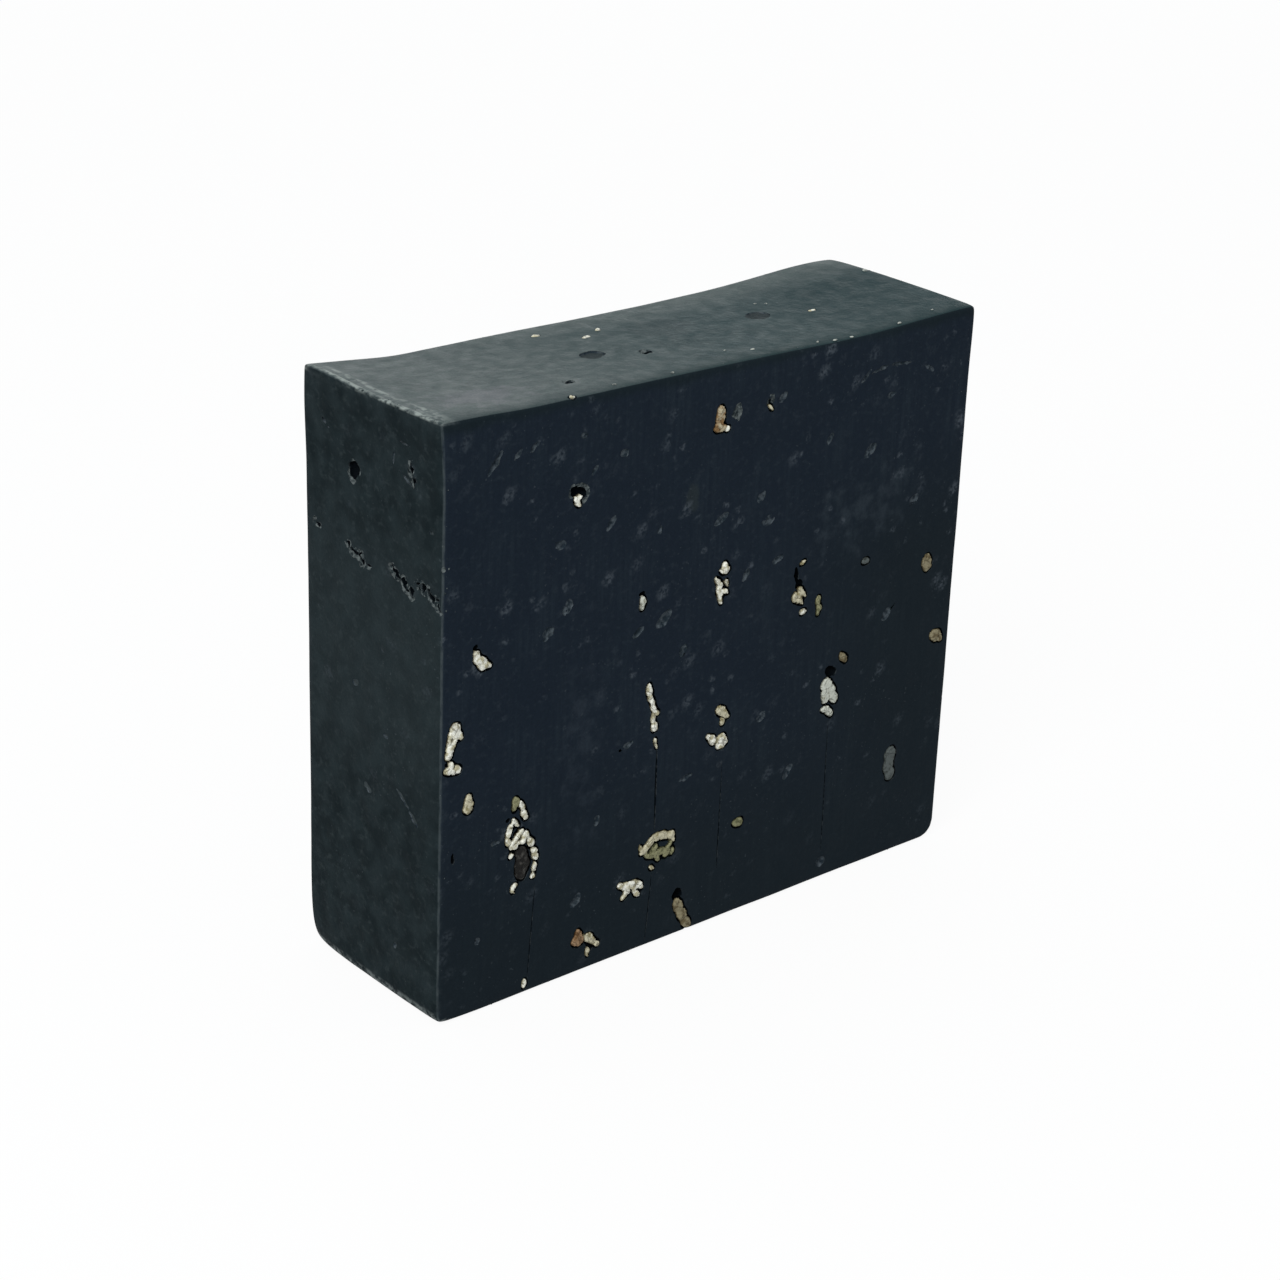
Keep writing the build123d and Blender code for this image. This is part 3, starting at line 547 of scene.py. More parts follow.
def slab_cage():
    """The slab as a coarse cage: the dished top, the flared walls and the bulging left side."""
    deselect()
    bpy.ops.mesh.primitive_cube_add(size=1, location=(0, 0, HEIGHT / 2 * MM))
    slab = bpy.context.object
    slab.name = "soap_slab"
    slab.scale = Vector((2 * WALL, THICKNESS, HEIGHT)) * MM
    bpy.ops.object.transform_apply(location=True, rotation=True, scale=True)
    half_way_up = HEIGHT - LIP_HEIGHT * 0.5
    cut_across(slab, 0, [(share - 0.5) * 2 * WALL for share in STATIONS[1:-1]])
    cut_across(slab, 1, [0.0])
    cut_across(slab, 2, [*BULGE_ROWS[1:-1], HEIGHT - LIP_HEIGHT, half_way_up])
    for share, *dips in zip(STATIONS, FRONT_DIP, MIDDLE_DIP, BACK_DIP):
        for y, dip in zip((FRONT, 0.0, BACK), dips):
            place = Vector(((share - 0.5) * 2 * WALL, y, HEIGHT))
            shift_where(slab, lambda v: (v - place).length < SAME, z=-dip)
    for low, spread, further in ((HEIGHT - 2.0, 1.0, 1.0), (half_way_up - 1.0, 0.25, 0.3)):
        for side in (-1, 1):
            x = side * spread * LIP_FLARE
            shift_where(slab, lambda v: low < v.z < low + 3.0 and v.x * side > WALL - SAME, x=x)
        x = -further * BACK_LIP
        shift_where(slab, lambda v: low < v.z < low + 3.0 and v.x < LEFT and v.y > BACK - SAME, x=x)
    for row, *bulges in zip(BULGE_ROWS, FRONT_BULGE, MIDDLE_BULGE, BACK_BULGE):
        for y, bulge in zip((FRONT, 0.0, BACK), bulges):
            place = Vector((LEFT, y, row))
            shift_where(slab, lambda v: (v - place).length < SAME, x=-bulge)
    cut_across(slab, 0, [-26.0, -2.9, 14.5, RIGHT - 3.2])
    cut_across(slab, 1, [FRONT + 3.0, BACK - 3.0])
    cut_across(slab, 2, [3.4, 20.0, 37.0, 54.0])
    for side, radius, steps in ((-1, LEFT_FOOT, 2), (1, RIGHT_FOOT, 3)):
        select_where(
            slab, lambda a, b: max(a.z, b.z) < SAME and min(a.x * side, b.x * side) > WALL - SAME, "EDGE"
        )
        bpy.ops.mesh.bevel(offset=radius * MM, segments=steps, affect="EDGES")
    bpy.ops.object.mode_set(mode="OBJECT")
    return slab


def is_outline(v):
    """Whether a point of a cut face lies on its outline."""
    outside = abs(v.x) > WALL - SAME or v.z > HEIGHT - 1.6 or v.z < SAME
    on_left_foot = v.x < LEFT + LEFT_FOOT + SAME and v.z < LEFT_FOOT + SAME
    on_right_foot = v.x > RIGHT - RIGHT_FOOT - SAME and v.z < RIGHT_FOOT + SAME
    return outside or on_left_foot or on_right_foot


def on_cut_rim(a, b):
    """Whether an edge is part of the outline of a cut face."""
    same_cut = min(abs(a.y), abs(b.y)) > BACK - SAME and a.y * b.y > 0
    return same_cut and is_outline(a) and is_outline(b)


def on_top(a, b):
    return min(a.z, b.z) > HEIGHT - 2.0


def on_lip(a, b):
    return on_top(a, b) and min(abs(a.x), abs(b.x)) > WALL - SAME and a.x * b.x > 0


# How worn the rims are, as shares of EDGE_WEAR. A later row overrules an earlier one.
RIM_WEAR = (
    (0.42, on_cut_rim),
    (0.95, lambda a, b: on_cut_rim(a, b) and on_top(a, b) and a.y < 0),
    (0.6, lambda a, b: on_cut_rim(a, b) and on_top(a, b) and a.y > 0),
    (0.35, lambda a, b: on_lip(a, b) and a.x < 0),
    (0.6, lambda a, b: on_lip(a, b) and a.x > 0),
    (0.75, lambda a, b: on_cut_rim(a, b) and a.y < 0 and max(a.x, b.x) < LEFT and max(a.z, b.z) > 3.0),
)


def wear_rims(slab):
    """Chamfers the cage along every rim, by its own width, for the smoothing to round."""
    for wear, test in RIM_WEAR:
        select_where(slab, test, "EDGE")
        bpy.ops.transform.edge_bevelweight(value=-1.0)
        bpy.ops.transform.edge_bevelweight(value=wear)
    bpy.ops.object.mode_set(mode="OBJECT")
    apply_modifier(
        slab, "BEVEL", width=EDGE_WEAR * MM, segments=1, limit_method="WEIGHT", use_clamp_overlap=False
    )


def rub_corners(slab):
    """Presses each corner of the cage in towards the middle of the slice."""
    for side, front, top, depth in RUBBED_CORNERS:
        spread = LIP_FLARE if top else left_bulge(0.5 + front / 2, 0) if side < 0 else 0
        z = top_height(0.5 + side / 2, 0.5 + front / 2) if top else 0.0
        corner = Vector((side * (WALL + spread), front * BACK, z))
        inwards = Vector((-side, -front, 1 - 2 * top)).normalized()
        select_where(slab, lambda v: (v - corner).length < CORNER_REACH)
        bpy.ops.transform.translate(value=inwards * depth * MM)
    bpy.ops.object.mode_set(mode="OBJECT")


def soap_slab():
    """The cage with its rims and corners worn, smoothed."""
    slab = slab_cage()
    wear_rims(slab)
    rub_corners(slab)
    apply_modifier(slab, "SUBSURF", levels=3, render_levels=3)
    return slab


# ---------------------------------------------------------------- the oats


def visible_patch(node):
    """The middle of what shows of a flake: its face, across and up, in millimetres."""
    corners = [vertex.co / MM for vertex in frame["nodes"][node].data.vertices]
    for face, side in (("front", -1), ("back", 1)):
        shown = [c for c in corners if c.y * side > BACK - 0.02]
        if shown:
            x = (min(c.x for c in shown) + max(c.x for c in shown)) / 2
            z = (min(c.z for c in shown) + max(c.z for c in shown)) / 2
            return face, WALL - x * side, z
    low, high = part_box(node)
    return "top", (low[0] + high[0]) / 2 / MM + WALL, (low[1] + high[1]) / 2 / MM + BACK


def oat_from_lumps(node):
    face, across, up = visible_patch(node)
    depth = SKIN_OAT_DEPTH if face == "top" else OAT_DEPTH
    return [
        lump(face, across + right, up + rise, length, width, turn, depth, OAT_SINK)
        for right, rise, length, width, turn in OAT_LUMPS[node]
    ]


def oat_from_flake(node):
    oat = copy_of(frame["nodes"][node], node + "_piece")
    clean(oat)
    return [oat]


def press_back(oat):
    """Flattens what stands far out of either cut, as the wire did."""
    plane = BACK + OAT_PROUD
    for side in (-1, 1):
        select_where(oat, lambda v: v.y * side > plane)
        bpy.ops.transform.resize(value=(1, 0.25, 1), center_override=(0, side * plane * MM, 0))
    bpy.ops.object.mode_set(mode="OBJECT")


def crumbled_oat(node):
    """One oat: its lumps or its flake melted together, roughened and cut off by the wire."""
    parts = oat_from_lumps(node) if node in OAT_LUMPS else oat_from_flake(node)
    parts += [lump(*bit, 0.6, 0.1) for bit in STRAY_BITS.get(node, ())]
    oat = joined(parts, node + "_piece")
    remesh(oat, OAT_GRAIN)
    roughen(oat, oat_lumps_noise, 0.4)
    roughen(oat, oat_fibre_noise, 0.1)
    press_back(oat)
    roughen(oat, oat_lumps_noise, 0.12)
    return oat


# ---------------------------------------------------------------- what is cut out of the slab


def pocket_of(node, oat):
    """The hollow that an oat lies in, a little larger than the oat."""
    pocket = copy_of(oat, "pocket")
    gap = SKIN_POCKET_GAP if node.startswith("oat_top_skin") else POCKET_GAP
    roughen(pocket, pocket_noise, gap, -0.8)
    remesh(pocket, 0.2)
    return pocket


def hollow(face, across, up, length, width, turn, depth):
    """A ragged cutter for one hollow, standing out of the face."""
    cutter = lump(face, across, up, length, width, turn, depth * 2, 0.0, 3)
    roughen(cutter, oat_lumps_noise, 0.35)
    roughen(cutter, oat_fibre_noise, 0.12)
    return cutter


def collar(face, across, up, length, width, turn, _depth):
    """The torn mouth round a hollow: shallow, and a little wider than it."""
    cutter = hollow(face, across, up, length + 0.6, width + 0.7, turn, 0.12)
    roughen(cutter, oat_lumps_noise, 0.5)
    return cutter


def dent(face, across, up, length, width, turn, depth=0.2):
    """A smooth shallow cutter."""
    cutter = lump(face, across, up, length * 1.25, width * 1.4, turn, depth * 1.5, 0.0, 4)
    roughen(cutter, dent_noise, 0.45)
    roughen(cutter, oat_lumps_noise, 0.2)
    return cutter


def drag_groove(face, across, up, end_across, end_up, width):
    """A long thin cutter that fades out at both ends."""
    run = Vector((end_across - across, end_up - up))
    turn = math.degrees(math.atan2(run.y, run.x))
    middle = ((across + end_across) / 2, (up + end_up) / 2)
    return lump(face, *middle, run.length * 1.04, width, turn, 0.5, 0.0, 4)


def rim_bits(start, end, count, largest, smallest=0.15):
    """Little balls strewn along one rim, longer along it than across."""
    run = Vector(end) - Vector(start)
    along = run.to_track_quat("X", "Z").to_matrix().to_4x4()
    bits = []
    for _ in range(count):
        place = Vector(start) + run * chance.uniform(0.01, 0.99)
        place += Vector([chance.uniform(-0.12, 0.12) for _ in range(3)])
        long = chance.uniform(0.35, 1.0) ** 2 * largest
        sizes = [long + smallest] + [long * chance.uniform(0.4, 0.8) + smallest for _ in range(2)]
        turn = Matrix.Rotation(chance.uniform(-0.4, 0.4), 4, "X") @ along
        bits.append((place, turn, sizes))
    return bits


def rim_nicks(start, end, count, largest):
    """A ragged cutter along one rim."""
    balls = [ball(place * MM, turn, sizes, 2) for place, turn, sizes in rim_bits(start, end, count, largest)]
    whole = joined(balls, "nicks")
    roughen(whole, oat_lumps_noise, 0.3)
    remesh(whole, 0.09)
    return whole


def rim_crumbs(slab, start, end, count, largest):
    """Crumbs of soap stuck to the slab beside one rim."""
    balls = []
    for place, turn, sizes in rim_bits(start, end, count, largest * 0.35, 0.1):
        inward = Vector((-place.x, -place.y, 0)).normalized() * chance.uniform(0.2, 1.3)
        found, spot, out, _ = slab.closest_point_on_mesh((place + inward) * MM)
        if found:
            balls.append(ball(spot - out * 0.03 * MM, turn, [size * 0.8 for size in sizes], 2))
    return balls


# ---------------------------------------------------------------- shader nodes


class Value:
    """A number that shader nodes work out. Arithmetic on it adds the nodes."""

    def __init__(self, socket):
        self.socket = socket
        self.tree = socket.id_data

    def __abs__(self):
        return maths(self.tree, "ABSOLUTE", self)

    def __add__(self, other):
        return maths(self.tree, "ADD", self, other)

    def __sub__(self, other):
        return maths(self.tree, "SUBTRACT", self, other)

    def __rsub__(self, other):
        return maths(self.tree, "SUBTRACT", other, self)

    def __mul__(self, other):
        return maths(self.tree, "MULTIPLY", self, other)


def feed(value, target):
    """Gives a node's input a value: a worked-out one, another node's output or a constant."""
    if isinstance(value, Value):
        value = value.socket
    if isinstance(value, bpy.types.NodeSocket):
        target.id_data.links.new(value, target)
    else:
        target.default_value = value


def add_node(tree, kind, inputs=(), **settings):
    """Adds a shader node, sets it and feeds its inputs."""
    node = tree.nodes.new("ShaderNode" + kind)
    for key, value in settings.items():
        setattr(node, key, value)
    for key, value in dict(inputs).items():
        feed(value, node.inputs[key])
    return node


def maths(tree, operation, first, second=0.5):
    return Value(add_node(tree, "Math", {0: first, 1: second}, operation=operation).outputs[0])


def larger(first, second):
    return maths(first.tree, "MAXIMUM", first, second)


def smaller(first, second):
    return maths(first.tree, "MINIMUM", first, second)


def ramp(value, low, high):
    """A soft step: nought at low, one at high."""
    node = add_node(
        value.tree, "MapRange", {"Value": value, "From Min": low, "From Max": high},
        interpolation_type="SMOOTHSTEP",
    )
    return Value(node.outputs["Result"])


def vector(tree, operation, *inputs):
    """A vector worked out from others."""
    return add_node(tree, "VectorMath", dict(enumerate(inputs)), operation=operation).outputs[0]


def xyz(tree, source):
    """The three parts of a vector."""
    return [Value(part) for part in add_node(tree, "SeparateXYZ", {0: source}).outputs]


def layered(colour, *coats):
    """A colour under further coats, each laid on by its share. A plain one is red, green, blue."""
    for share, coat in coats:
        under, over = ((*c, 1) if isinstance(c, tuple) else c for c in (colour, coat))
        colour = add_node(share.tree, "Mix", {0: share, 6: under, 7: over}, data_type="RGBA").outputs[2]
    return colour


def place_in_mm(tree):
    """The place on the piece, in millimetres."""
    place = add_node(tree, "TexCoord").outputs["Object"]
    return add_node(tree, "VectorMath", {0: place, "Scale": 1 / MM}, operation="SCALE").outputs[0]


def new_group(name, inputs, outputs):
    """An empty shader node group with its named inputs and outputs."""
    group = bpy.data.node_groups.new(name, "ShaderNodeTree")
    for label, value in inputs.items():
        kind = "NodeSocketVector" if isinstance(value, tuple) else "NodeSocketFloat"
        group.interface.new_socket(label, in_out="INPUT", socket_type=kind).default_value = value
    for label in outputs:
        group.interface.new_socket(label, in_out="OUTPUT", socket_type="NodeSocketFloat")
    return group, group.nodes.new("NodeGroupInput").outputs, group.nodes.new("NodeGroupOutput").inputs


def mottle_group():
    """Cloudy patches of a size in millimetres, from nought to one."""
    inputs = {"Size": (1, 1, 1), "Seed": 0.0, "Low": 0.4, "High": 0.6, "Detail": 3.0}
    tree, given, result = new_group("mottle", inputs, ("Value",))
    scaled = vector(tree, "DIVIDE", place_in_mm(tree), given["Size"])
    noise = add_node(
        tree, "TexNoise", {"Vector": scaled, "W": given["Seed"], "Scale": 1.0, "Detail": given["Detail"]},
        noise_dimensions="4D",
    )
    feed(ramp(Value(noise.outputs["Fac"]), given["Low"], given["High"]), result["Value"])
    return tree


def faces_group():
    """Which side of the slice this is, how near a rim a place lies, and the rim's rounding, which soap_skin
    lightens for wear and as a painted highlight.
    """
    tree, given, result = new_group("faces", {"Reach": 0.8}, ("Cut", "Wall", "Top", "Rim", "Edge"))
    normal = xyz(tree, add_node(tree, "NewGeometry").outputs["Normal"])
    x, y, z = xyz(tree, place_in_mm(tree))
    across, along = abs(normal[0]), abs(normal[1])
    feed(ramp(along, 0.7, 0.9), result["Cut"])
    feed(ramp(across, 0.7, 0.9), result["Wall"])
    feed(ramp(normal[2], 0.75, 0.93), result["Top"])
    from_cut = THICKNESS / 2 - abs(y)
    from_wall = larger(WALL + 0.2 - abs(x), 0.0)
    from_top = abs(HEIGHT - 0.75 - z)
    upright = smaller(from_wall, smaller(from_top, z))
    nearest = smaller(from_cut + upright, from_wall + from_top)
    feed(ramp(nearest, given["Reach"], 0.0), result["Edge"])
    # Rim: where the rounded rim turns away from the faces; painted lighter in soap_skin, partly wear and
    # partly a painted highlight
    flat = larger(abs(normal[2]), larger(across, along))
    feed(ramp(flat, 0.97, 0.84) * ramp(nearest, 1.3, 0.7), result["Rim"])
    return tree


def patch_group():
    """A ragged patch at a place: one inside it, nought outside."""
    inputs = {"Centre": (0, 0, 0), "Reach": (1, 1, 1), "Ragged": 0.8}
    tree, given, result = new_group("patch", inputs, ("Value",))
    off = vector(tree, "SUBTRACT", place_in_mm(tree), given["Centre"])
    off = vector(tree, "DIVIDE", off, given["Reach"])
    far = Value(add_node(tree, "VectorMath", {0: off}, operation="LENGTH").outputs["Value"])
    noise = add_node(tree, "TexNoise", {"Vector": place_in_mm(tree), "Scale": 0.45, "Detail": 4.0})
    torn = (Value(noise.outputs["Fac"]) - 0.5) * given["Ragged"]
    feed(ramp(far + torn * 3.0, 1.15, 0.35), result["Value"])
    return tree


def shifted_cells(tree, place, wave, shift, size, seed, **settings):
    """Cells of a size in millimetres, bent out of shape by a wave that shifts them."""
    bent = add_node(tree, "TexNoise", {"Vector": place_in_mm(tree), **wave}).outputs["Color"]
    bent = vector(tree, "MULTIPLY_ADD", bent, (shift, shift, shift), place)
    inputs = {"Vector": vector(tree, "DIVIDE", bent, size), "W": seed, "Scale": 1.0}
    return add_node(tree, "TexVoronoi", inputs, voronoi_dimensions="4D", **settings).outputs


def scuffs_group():
    """Short slanting scuffs: one on a scuff, nought beside it."""
    inputs = {"Size": (1.6, 1.6, 0.9), "Slant": 0.8, "Seed": 0.0, "Share": 0.4, "Reach": 0.42}
    tree, given, result = new_group("scuffs", inputs, ("Value",))
    turned = add_node(
        tree, "VectorRotate", {"Vector": place_in_mm(tree), "Angle": given["Slant"]}, rotation_type="Y_AXIS"
    ).outputs[0]
    wave = {"Scale": 1.6, "Detail": 3.0}
    cells = shifted_cells(tree, turned, wave, 0.9, given["Size"], given["Seed"])
    chosen = maths(tree, "LESS_THAN", xyz(tree, cells["Color"])[0], given["Share"])
    feed(ramp(Value(cells["Distance"]), given["Reach"], 0.12) * chosen, result["Value"])
    return tree


def cracks_group():
    """Crooked cracks between fragments: one in a crack, nought on a fragment."""
    tree, given, result = new_group("cracks", {"Size": 1.0, "Seed": 0.0, "Width": 0.07}, ("Value",))
    even = add_node(tree, "CombineXYZ", {i: given["Size"] for i in range(3)}).outputs[0]
    wave = {"Scale": 1.8, "Detail": 2.0}
    cells = shifted_cells(
        tree, place_in_mm(tree), wave, 0.7, even, given["Seed"], feature="DISTANCE_TO_EDGE"
    )
    feed(ramp(Value(cells["Distance"]), given["Width"], 0.0), result["Value"])
    return tree


def depth_group():
    """How deep below the cuts, the walls and the poured top a place lies: nought at the surface."""
    tree, given, result = new_group("below_cut", {"Low": 0.1, "High": 0.5}, ("Value",))
    x, y, z = xyz(tree, place_in_mm(tree))
    least = smaller(THICKNESS / 2 - abs(y), HEIGHT - MEAN_DIP - z)
    least = smaller(least, WALL - abs(x))
    feed(ramp(least, given["Low"], given["High"]), result["Value"])
    return tree


def masks(tree, group, **values):
    """Places a group in a material with its own values, and gives all that it puts out."""
    node = tree.nodes.new("ShaderNodeGroup")
    node.node_tree = group
    for key, value in values.items():
        node.inputs[key].default_value = value
    return {output.name: Value(output) for output in node.outputs}


def mask(tree, group, **values):
    return masks(tree, group, **values)["Value"]


def mottle(tree, size, seed, low=0.4, high=0.6, detail=3.0):
    size = size if isinstance(size, tuple) else (size, size, size)
    return mask(tree, MOTTLE, Size=size, Seed=seed, Low=low, High=high, Detail=detail)


# ---------------------------------------------------------------- finishes


def new_finish(name, specular):
    """A material with just its shader and output."""
    material = bpy.data.materials.new(name)
    material.use_nodes = True
    shader = material.node_tree.nodes["Principled BSDF"]
    shader.inputs["Specular IOR Level"].default_value = specular
    return material, material.node_tree


def finished(material, colour, rough, *heights):
    """Feeds a material's shader a colour, a roughness and a stack of heights in millimetres."""
    inputs = material.node_tree.nodes["Principled BSDF"].inputs
    feed(colour, inputs["Base Color"])
    feed(rough, inputs["Roughness"])
    layers = [value * tall for value, tall in heights]
    height = layers[0]
    for layer in layers[1:]:
        height = height + layer
    bump = add_node(height.tree, "Bump", {"Height": height, "Strength": 1.0, "Distance": MM})
    feed(bump.outputs["Normal"], inputs["Normal"])
    return material


def cut_colour(tree, z, x, grain, streak):
    """Both wire cuts: fine streaks, a painted shadow under the top rim, greener low down on the right."""
    cloud = mottle(tree, (6.0, 6.0, 9.0), 5.0, 0.38, 0.68)
    # painted shadow: a dark band just under the top rim of the cuts
    painted_rim_shadow = ramp(z + cloud * 0.5, 69.0, 70.3)
    greener = larger(ramp(x, 2.0, 34.0) * ramp(z, 58.0, 40.0), ramp(z, 32.0, 4.0))
    column = mask(tree, PATCH, Centre=(-4.9, -12.7, 55.7), Reach=(0.9, 2.0, 2.4), Ragged=0.9)
    return layered(
        (0.0128, 0.0192, 0.029),
        (streak * cloud, (0.017, 0.025, 0.035)),
        (grain * 0.5, (0.03, 0.04, 0.051)),
        (painted_rim_shadow * 0.6, (0.008, 0.014, 0.0145)),
        (greener * 0.65, (0.0115, 0.0172, 0.02)),
        (column * 0.25, (0.047, 0.056, 0.047)),
    )


def wall_colour(tree, z, grain):
    """The walls that lay against the mould: clouded, and paler half-way up."""
    belly = ramp(z, 22.0, 34.0) * ramp(z, 60.0, 48.0)
    return layered(
        (0.008, 0.0132, 0.0152),
        (mottle(tree, (5.0, 3.0, 3.0), 12.0, 0.34, 0.68, 4.0), (0.0165, 0.025, 0.028)),
        (grain * 0.7, (0.03, 0.04, 0.043)),
        (belly * 0.35, (0.027, 0.037, 0.0405)),
    )


def top_colour(tree, x, y, film):
    """The poured top: lighter than the cuts, partly soda-ash haze and partly painted sheen; the painted sheen
    is brightest towards the left and the back; hazy mottling on the left; darker along the front rim.
    """
    # painted sheen: lighter towards the left and the back, where the top caught the light
    painted_sheen = larger(ramp(x, 14.0, -36.0), ramp(y, 4.0, 12.0))
    hazy = ramp(x, -6.0, -30.0) * mottle(tree, (2.2, 1.0, 2.0), 24.0, 0.35, 0.72, 5.0)
    dull = mottle(tree, (3.0, 2.2, 3.0), 28.0, 0.46, 0.7, 5.0)
    return layered(
        # a lighter base than the cuts: soda-ash haze with painted sheen
        (0.0205, 0.042, 0.0465),
        (mottle(tree, (26.0, 6.0, 3.0), 21.0, 0.2, 0.8, 1.0), (0.036, 0.06, 0.064)),
        (painted_sheen * 0.8, (0.099, 0.122, 0.12)),
        (hazy * 0.35, (0.17, 0.176, 0.181)),
        (film * (painted_sheen * 0.16 + 0.04), (0.145, 0.156, 0.16)),
        (dull * 0.22, (0.026, 0.04, 0.043)),
        (ramp(y, -9.5, -12.2) * 0.45, (0.0215, 0.038, 0.0405)),
    )


def chalky_lip(tree, x, y, z, top):
    """The pale left lip: a line along the rim, one a little way in, and crumbs between them."""
    wander = mottle(tree, (9.0, 3.0, 9.0), 47.0, 0.2, 0.8, 2.0) * 0.7
    along_lip = ramp(y, -11.5, -9.0) * ramp(y, 12.0, 8.0)
    inner_line = top * along_lip * ramp(abs(x + 38.3 + wander), 0.55, 0.1)
    rim_line = ramp(abs(x + 40.02), 0.42, 0.12) * ramp(z, 70.3, 70.6)
    uneven = mottle(tree, (4.0, 3.2, 4.0), 49.0, 0.36, 0.6, 1.0) * 0.6 + 0.4
    dotted = mottle(tree, (0.55, 0.75, 0.55), 45.0, 0.36, 0.58, 4.0) * uneven
    between_lines = ramp(x, -37.8, -38.6) * ramp(z, 69.8, 70.3)
    crowded = ramp(y, -6.5, -9.5) * 0.42 + 0.16
    lines = larger(inner_line * 0.8, rim_line) * dotted
    return larger(lines, between_lines * dotted * crowded * top)


def scuff_marks(tree, z, crowd):
    """Scuffs of two sizes, broken up, in crowds, and fewer towards the base."""
    shape = {"Seed": 2.0, "Share": 0.38, "Slant": 0.8, "Reach": 0.52}
    large = mask(tree, SCUFFS, Size=(3.2, 3.2, 2.1), **shape)
    shape = {"Seed": 6.0, "Share": 0.2, "Slant": 0.3, "Reach": 0.5}
    small = mask(tree, SCUFFS, Size=(1.5, 1.5, 1.1), **shape)
    marks = larger(large, small) * mottle(tree, 0.45, 33.0, 0.36, 0.62, 4.0)
    return marks * (ramp(z, 8.0, 32.0) * 0.65 + 0.35) * (crowd * 0.88 + 0.12)


def soap_skin():
    """The soap's own surface: wire cuts, mould walls, poured top and rubbed rims, with painted sheen on the
    top, a painted shadow under the cuts' top rim and painted highlights on the rims and scuffs.
    """
    material, tree = new_finish("soap_skin", SOAP_SHINE)
    side = masks(tree, FACES, Reach=RIM_REACH)
    x, y, z = xyz(tree, place_in_mm(tree))
    streak = mottle(tree, (0.5, 0.5, 9.0), 3.0, 0.36, 0.66)
    grain = mottle(tree, (0.9, 0.9, 0.7), 13.0, 0.5, 0.78, 4.0)
    film = mottle(tree, (2.0, 1.1, 2.0), 27.0, 0.4, 0.66, 5.0)
    fine = mottle(tree, 0.22, 9.0, 0.42, 0.62, 2.0)
    crowd = mottle(tree, (8.0, 9.0, 11.0), 35.0, 0.4, 0.58, 2.0)
    bloom = mask(tree, PATCH, Centre=(-30.4, -6.3, 70.4), Reach=(5.5, 3.4, 3.0), Ragged=0.9)
    dusted = mask(tree, PATCH, Centre=(23.5, -12.7, 48.5), Reach=(8.0, 2.0, 5.5), Ragged=1.0)
    trail = mask(tree, PATCH, Centre=(-20.3, -12.7, 28.0), Reach=(3.2, 2.0, 14.0), Ragged=0.9)
    pit_halo = mask(tree, PATCH, Centre=(-19.1, -7.5, 70.4), Reach=(2.6, 1.5, 3.0), Ragged=0.6)
    smear = mask(tree, PATCH, Centre=(3.0, 3.5, 70.2), Reach=(5.0, 3.4, 3.0), Ragged=0.8)
    marks = scuff_marks(tree, z, crowd)
    specks = mottle(tree, 0.36, 31.0, 0.69, 0.75, 1.0) * crowd
    not_under = 1.0 - ramp(z, 68.0, 69.6) * ramp(x, -38.6, -37.6)
    edge = side["Edge"] * mottle(tree, 0.9, 41.0, 0.38, 0.62, 4.0) * not_under
    # the rounded rims: lighter, partly wear and partly a painted highlight
    rim = side["Rim"] * mottle(tree, (0.5, 0.5, 1.5), 43.0, 0.24, 0.62, 4.0) * not_under
    lip = chalky_lip(tree, x, y, z, side["Top"])
    foot = ramp(z, 1.5, 0.9) * ramp(x, -38.9, -39.5) * mottle(tree, 0.8, 53.0, 0.4, 0.6, 4.0)
    colour = layered(
        cut_colour(tree, z, x, grain, streak),
        (side["Wall"], wall_colour(tree, z, grain)),
        (side["Top"], top_colour(tree, x, y, film)),
        (bloom * 0.6, (0.155, 0.16, 0.172)),
        (dusted * film * 0.5, (0.04, 0.052, 0.064)),
        (trail * film * 0.5, (0.033, 0.043, 0.056)),
        (pit_halo * 0.3, (0.165, 0.185, 0.18)),
        (smear * 0.4, (0.027, 0.041, 0.045)),
        # scuffs: lighter, partly paler dust and partly a painted highlight where they catch light
        (marks * (side["Cut"] * 0.65 + 0.22), (0.076, 0.091, 0.108)),
        (specks * 0.4, (0.07, 0.083, 0.092)),
        (fine * 0.16, (0.006, 0.0092, 0.0125)),
        (edge * 0.3, (0.04, 0.05, 0.053)),
        # wear and painted highlight on the rounded rims
        (rim * 0.65, (0.064, 0.078, 0.082)),
        (lip * 0.85, (0.32, 0.355, 0.335)),
        (foot * 0.6, (0.24, 0.265, 0.26)),
    )
    gloss = mottle(tree, (2.0, 2.0, 3.5), 51.0, 0.35, 0.65) * 0.14
    return finished(
        material, colour, gloss + 0.4 + rim * 0.25, (streak * side["Cut"], 0.007), (grain, 0.012),
        (mottle(tree, 0.7, 61.0, 0.25, 0.75, 2.0), 0.022), (mottle(tree, 5.0, 63.0, 0.2, 0.8, 1.0), 0.04),
        (marks, -0.03), (lip, 0.06),
    )


def scuffed_soap():
    """A shallow dent's floor: paler, partly dusted soap and partly a painted highlight where the dent catches
    light; less so off the cuts.
    """
    material, tree = new_finish("soap_scuffed", SOAP_SHINE)
    light = mottle(tree, 0.6, 91.0, 0.38, 0.66, 4.0)
    side = masks(tree, FACES, Reach=RIM_REACH)
    colour = layered(
        (0.017, 0.0255, 0.0335),
        # paler: dusted soap and a painted highlight
        (light, (0.078, 0.093, 0.106)),
        (larger(side["Wall"], side["Top"]) * 0.8, (0.038, 0.047, 0.048)),
    )
    return finished(material, colour, light * 0.2 + 0.5, (mottle(tree, 0.4, 93.0, 0.3, 0.7), 0.05))


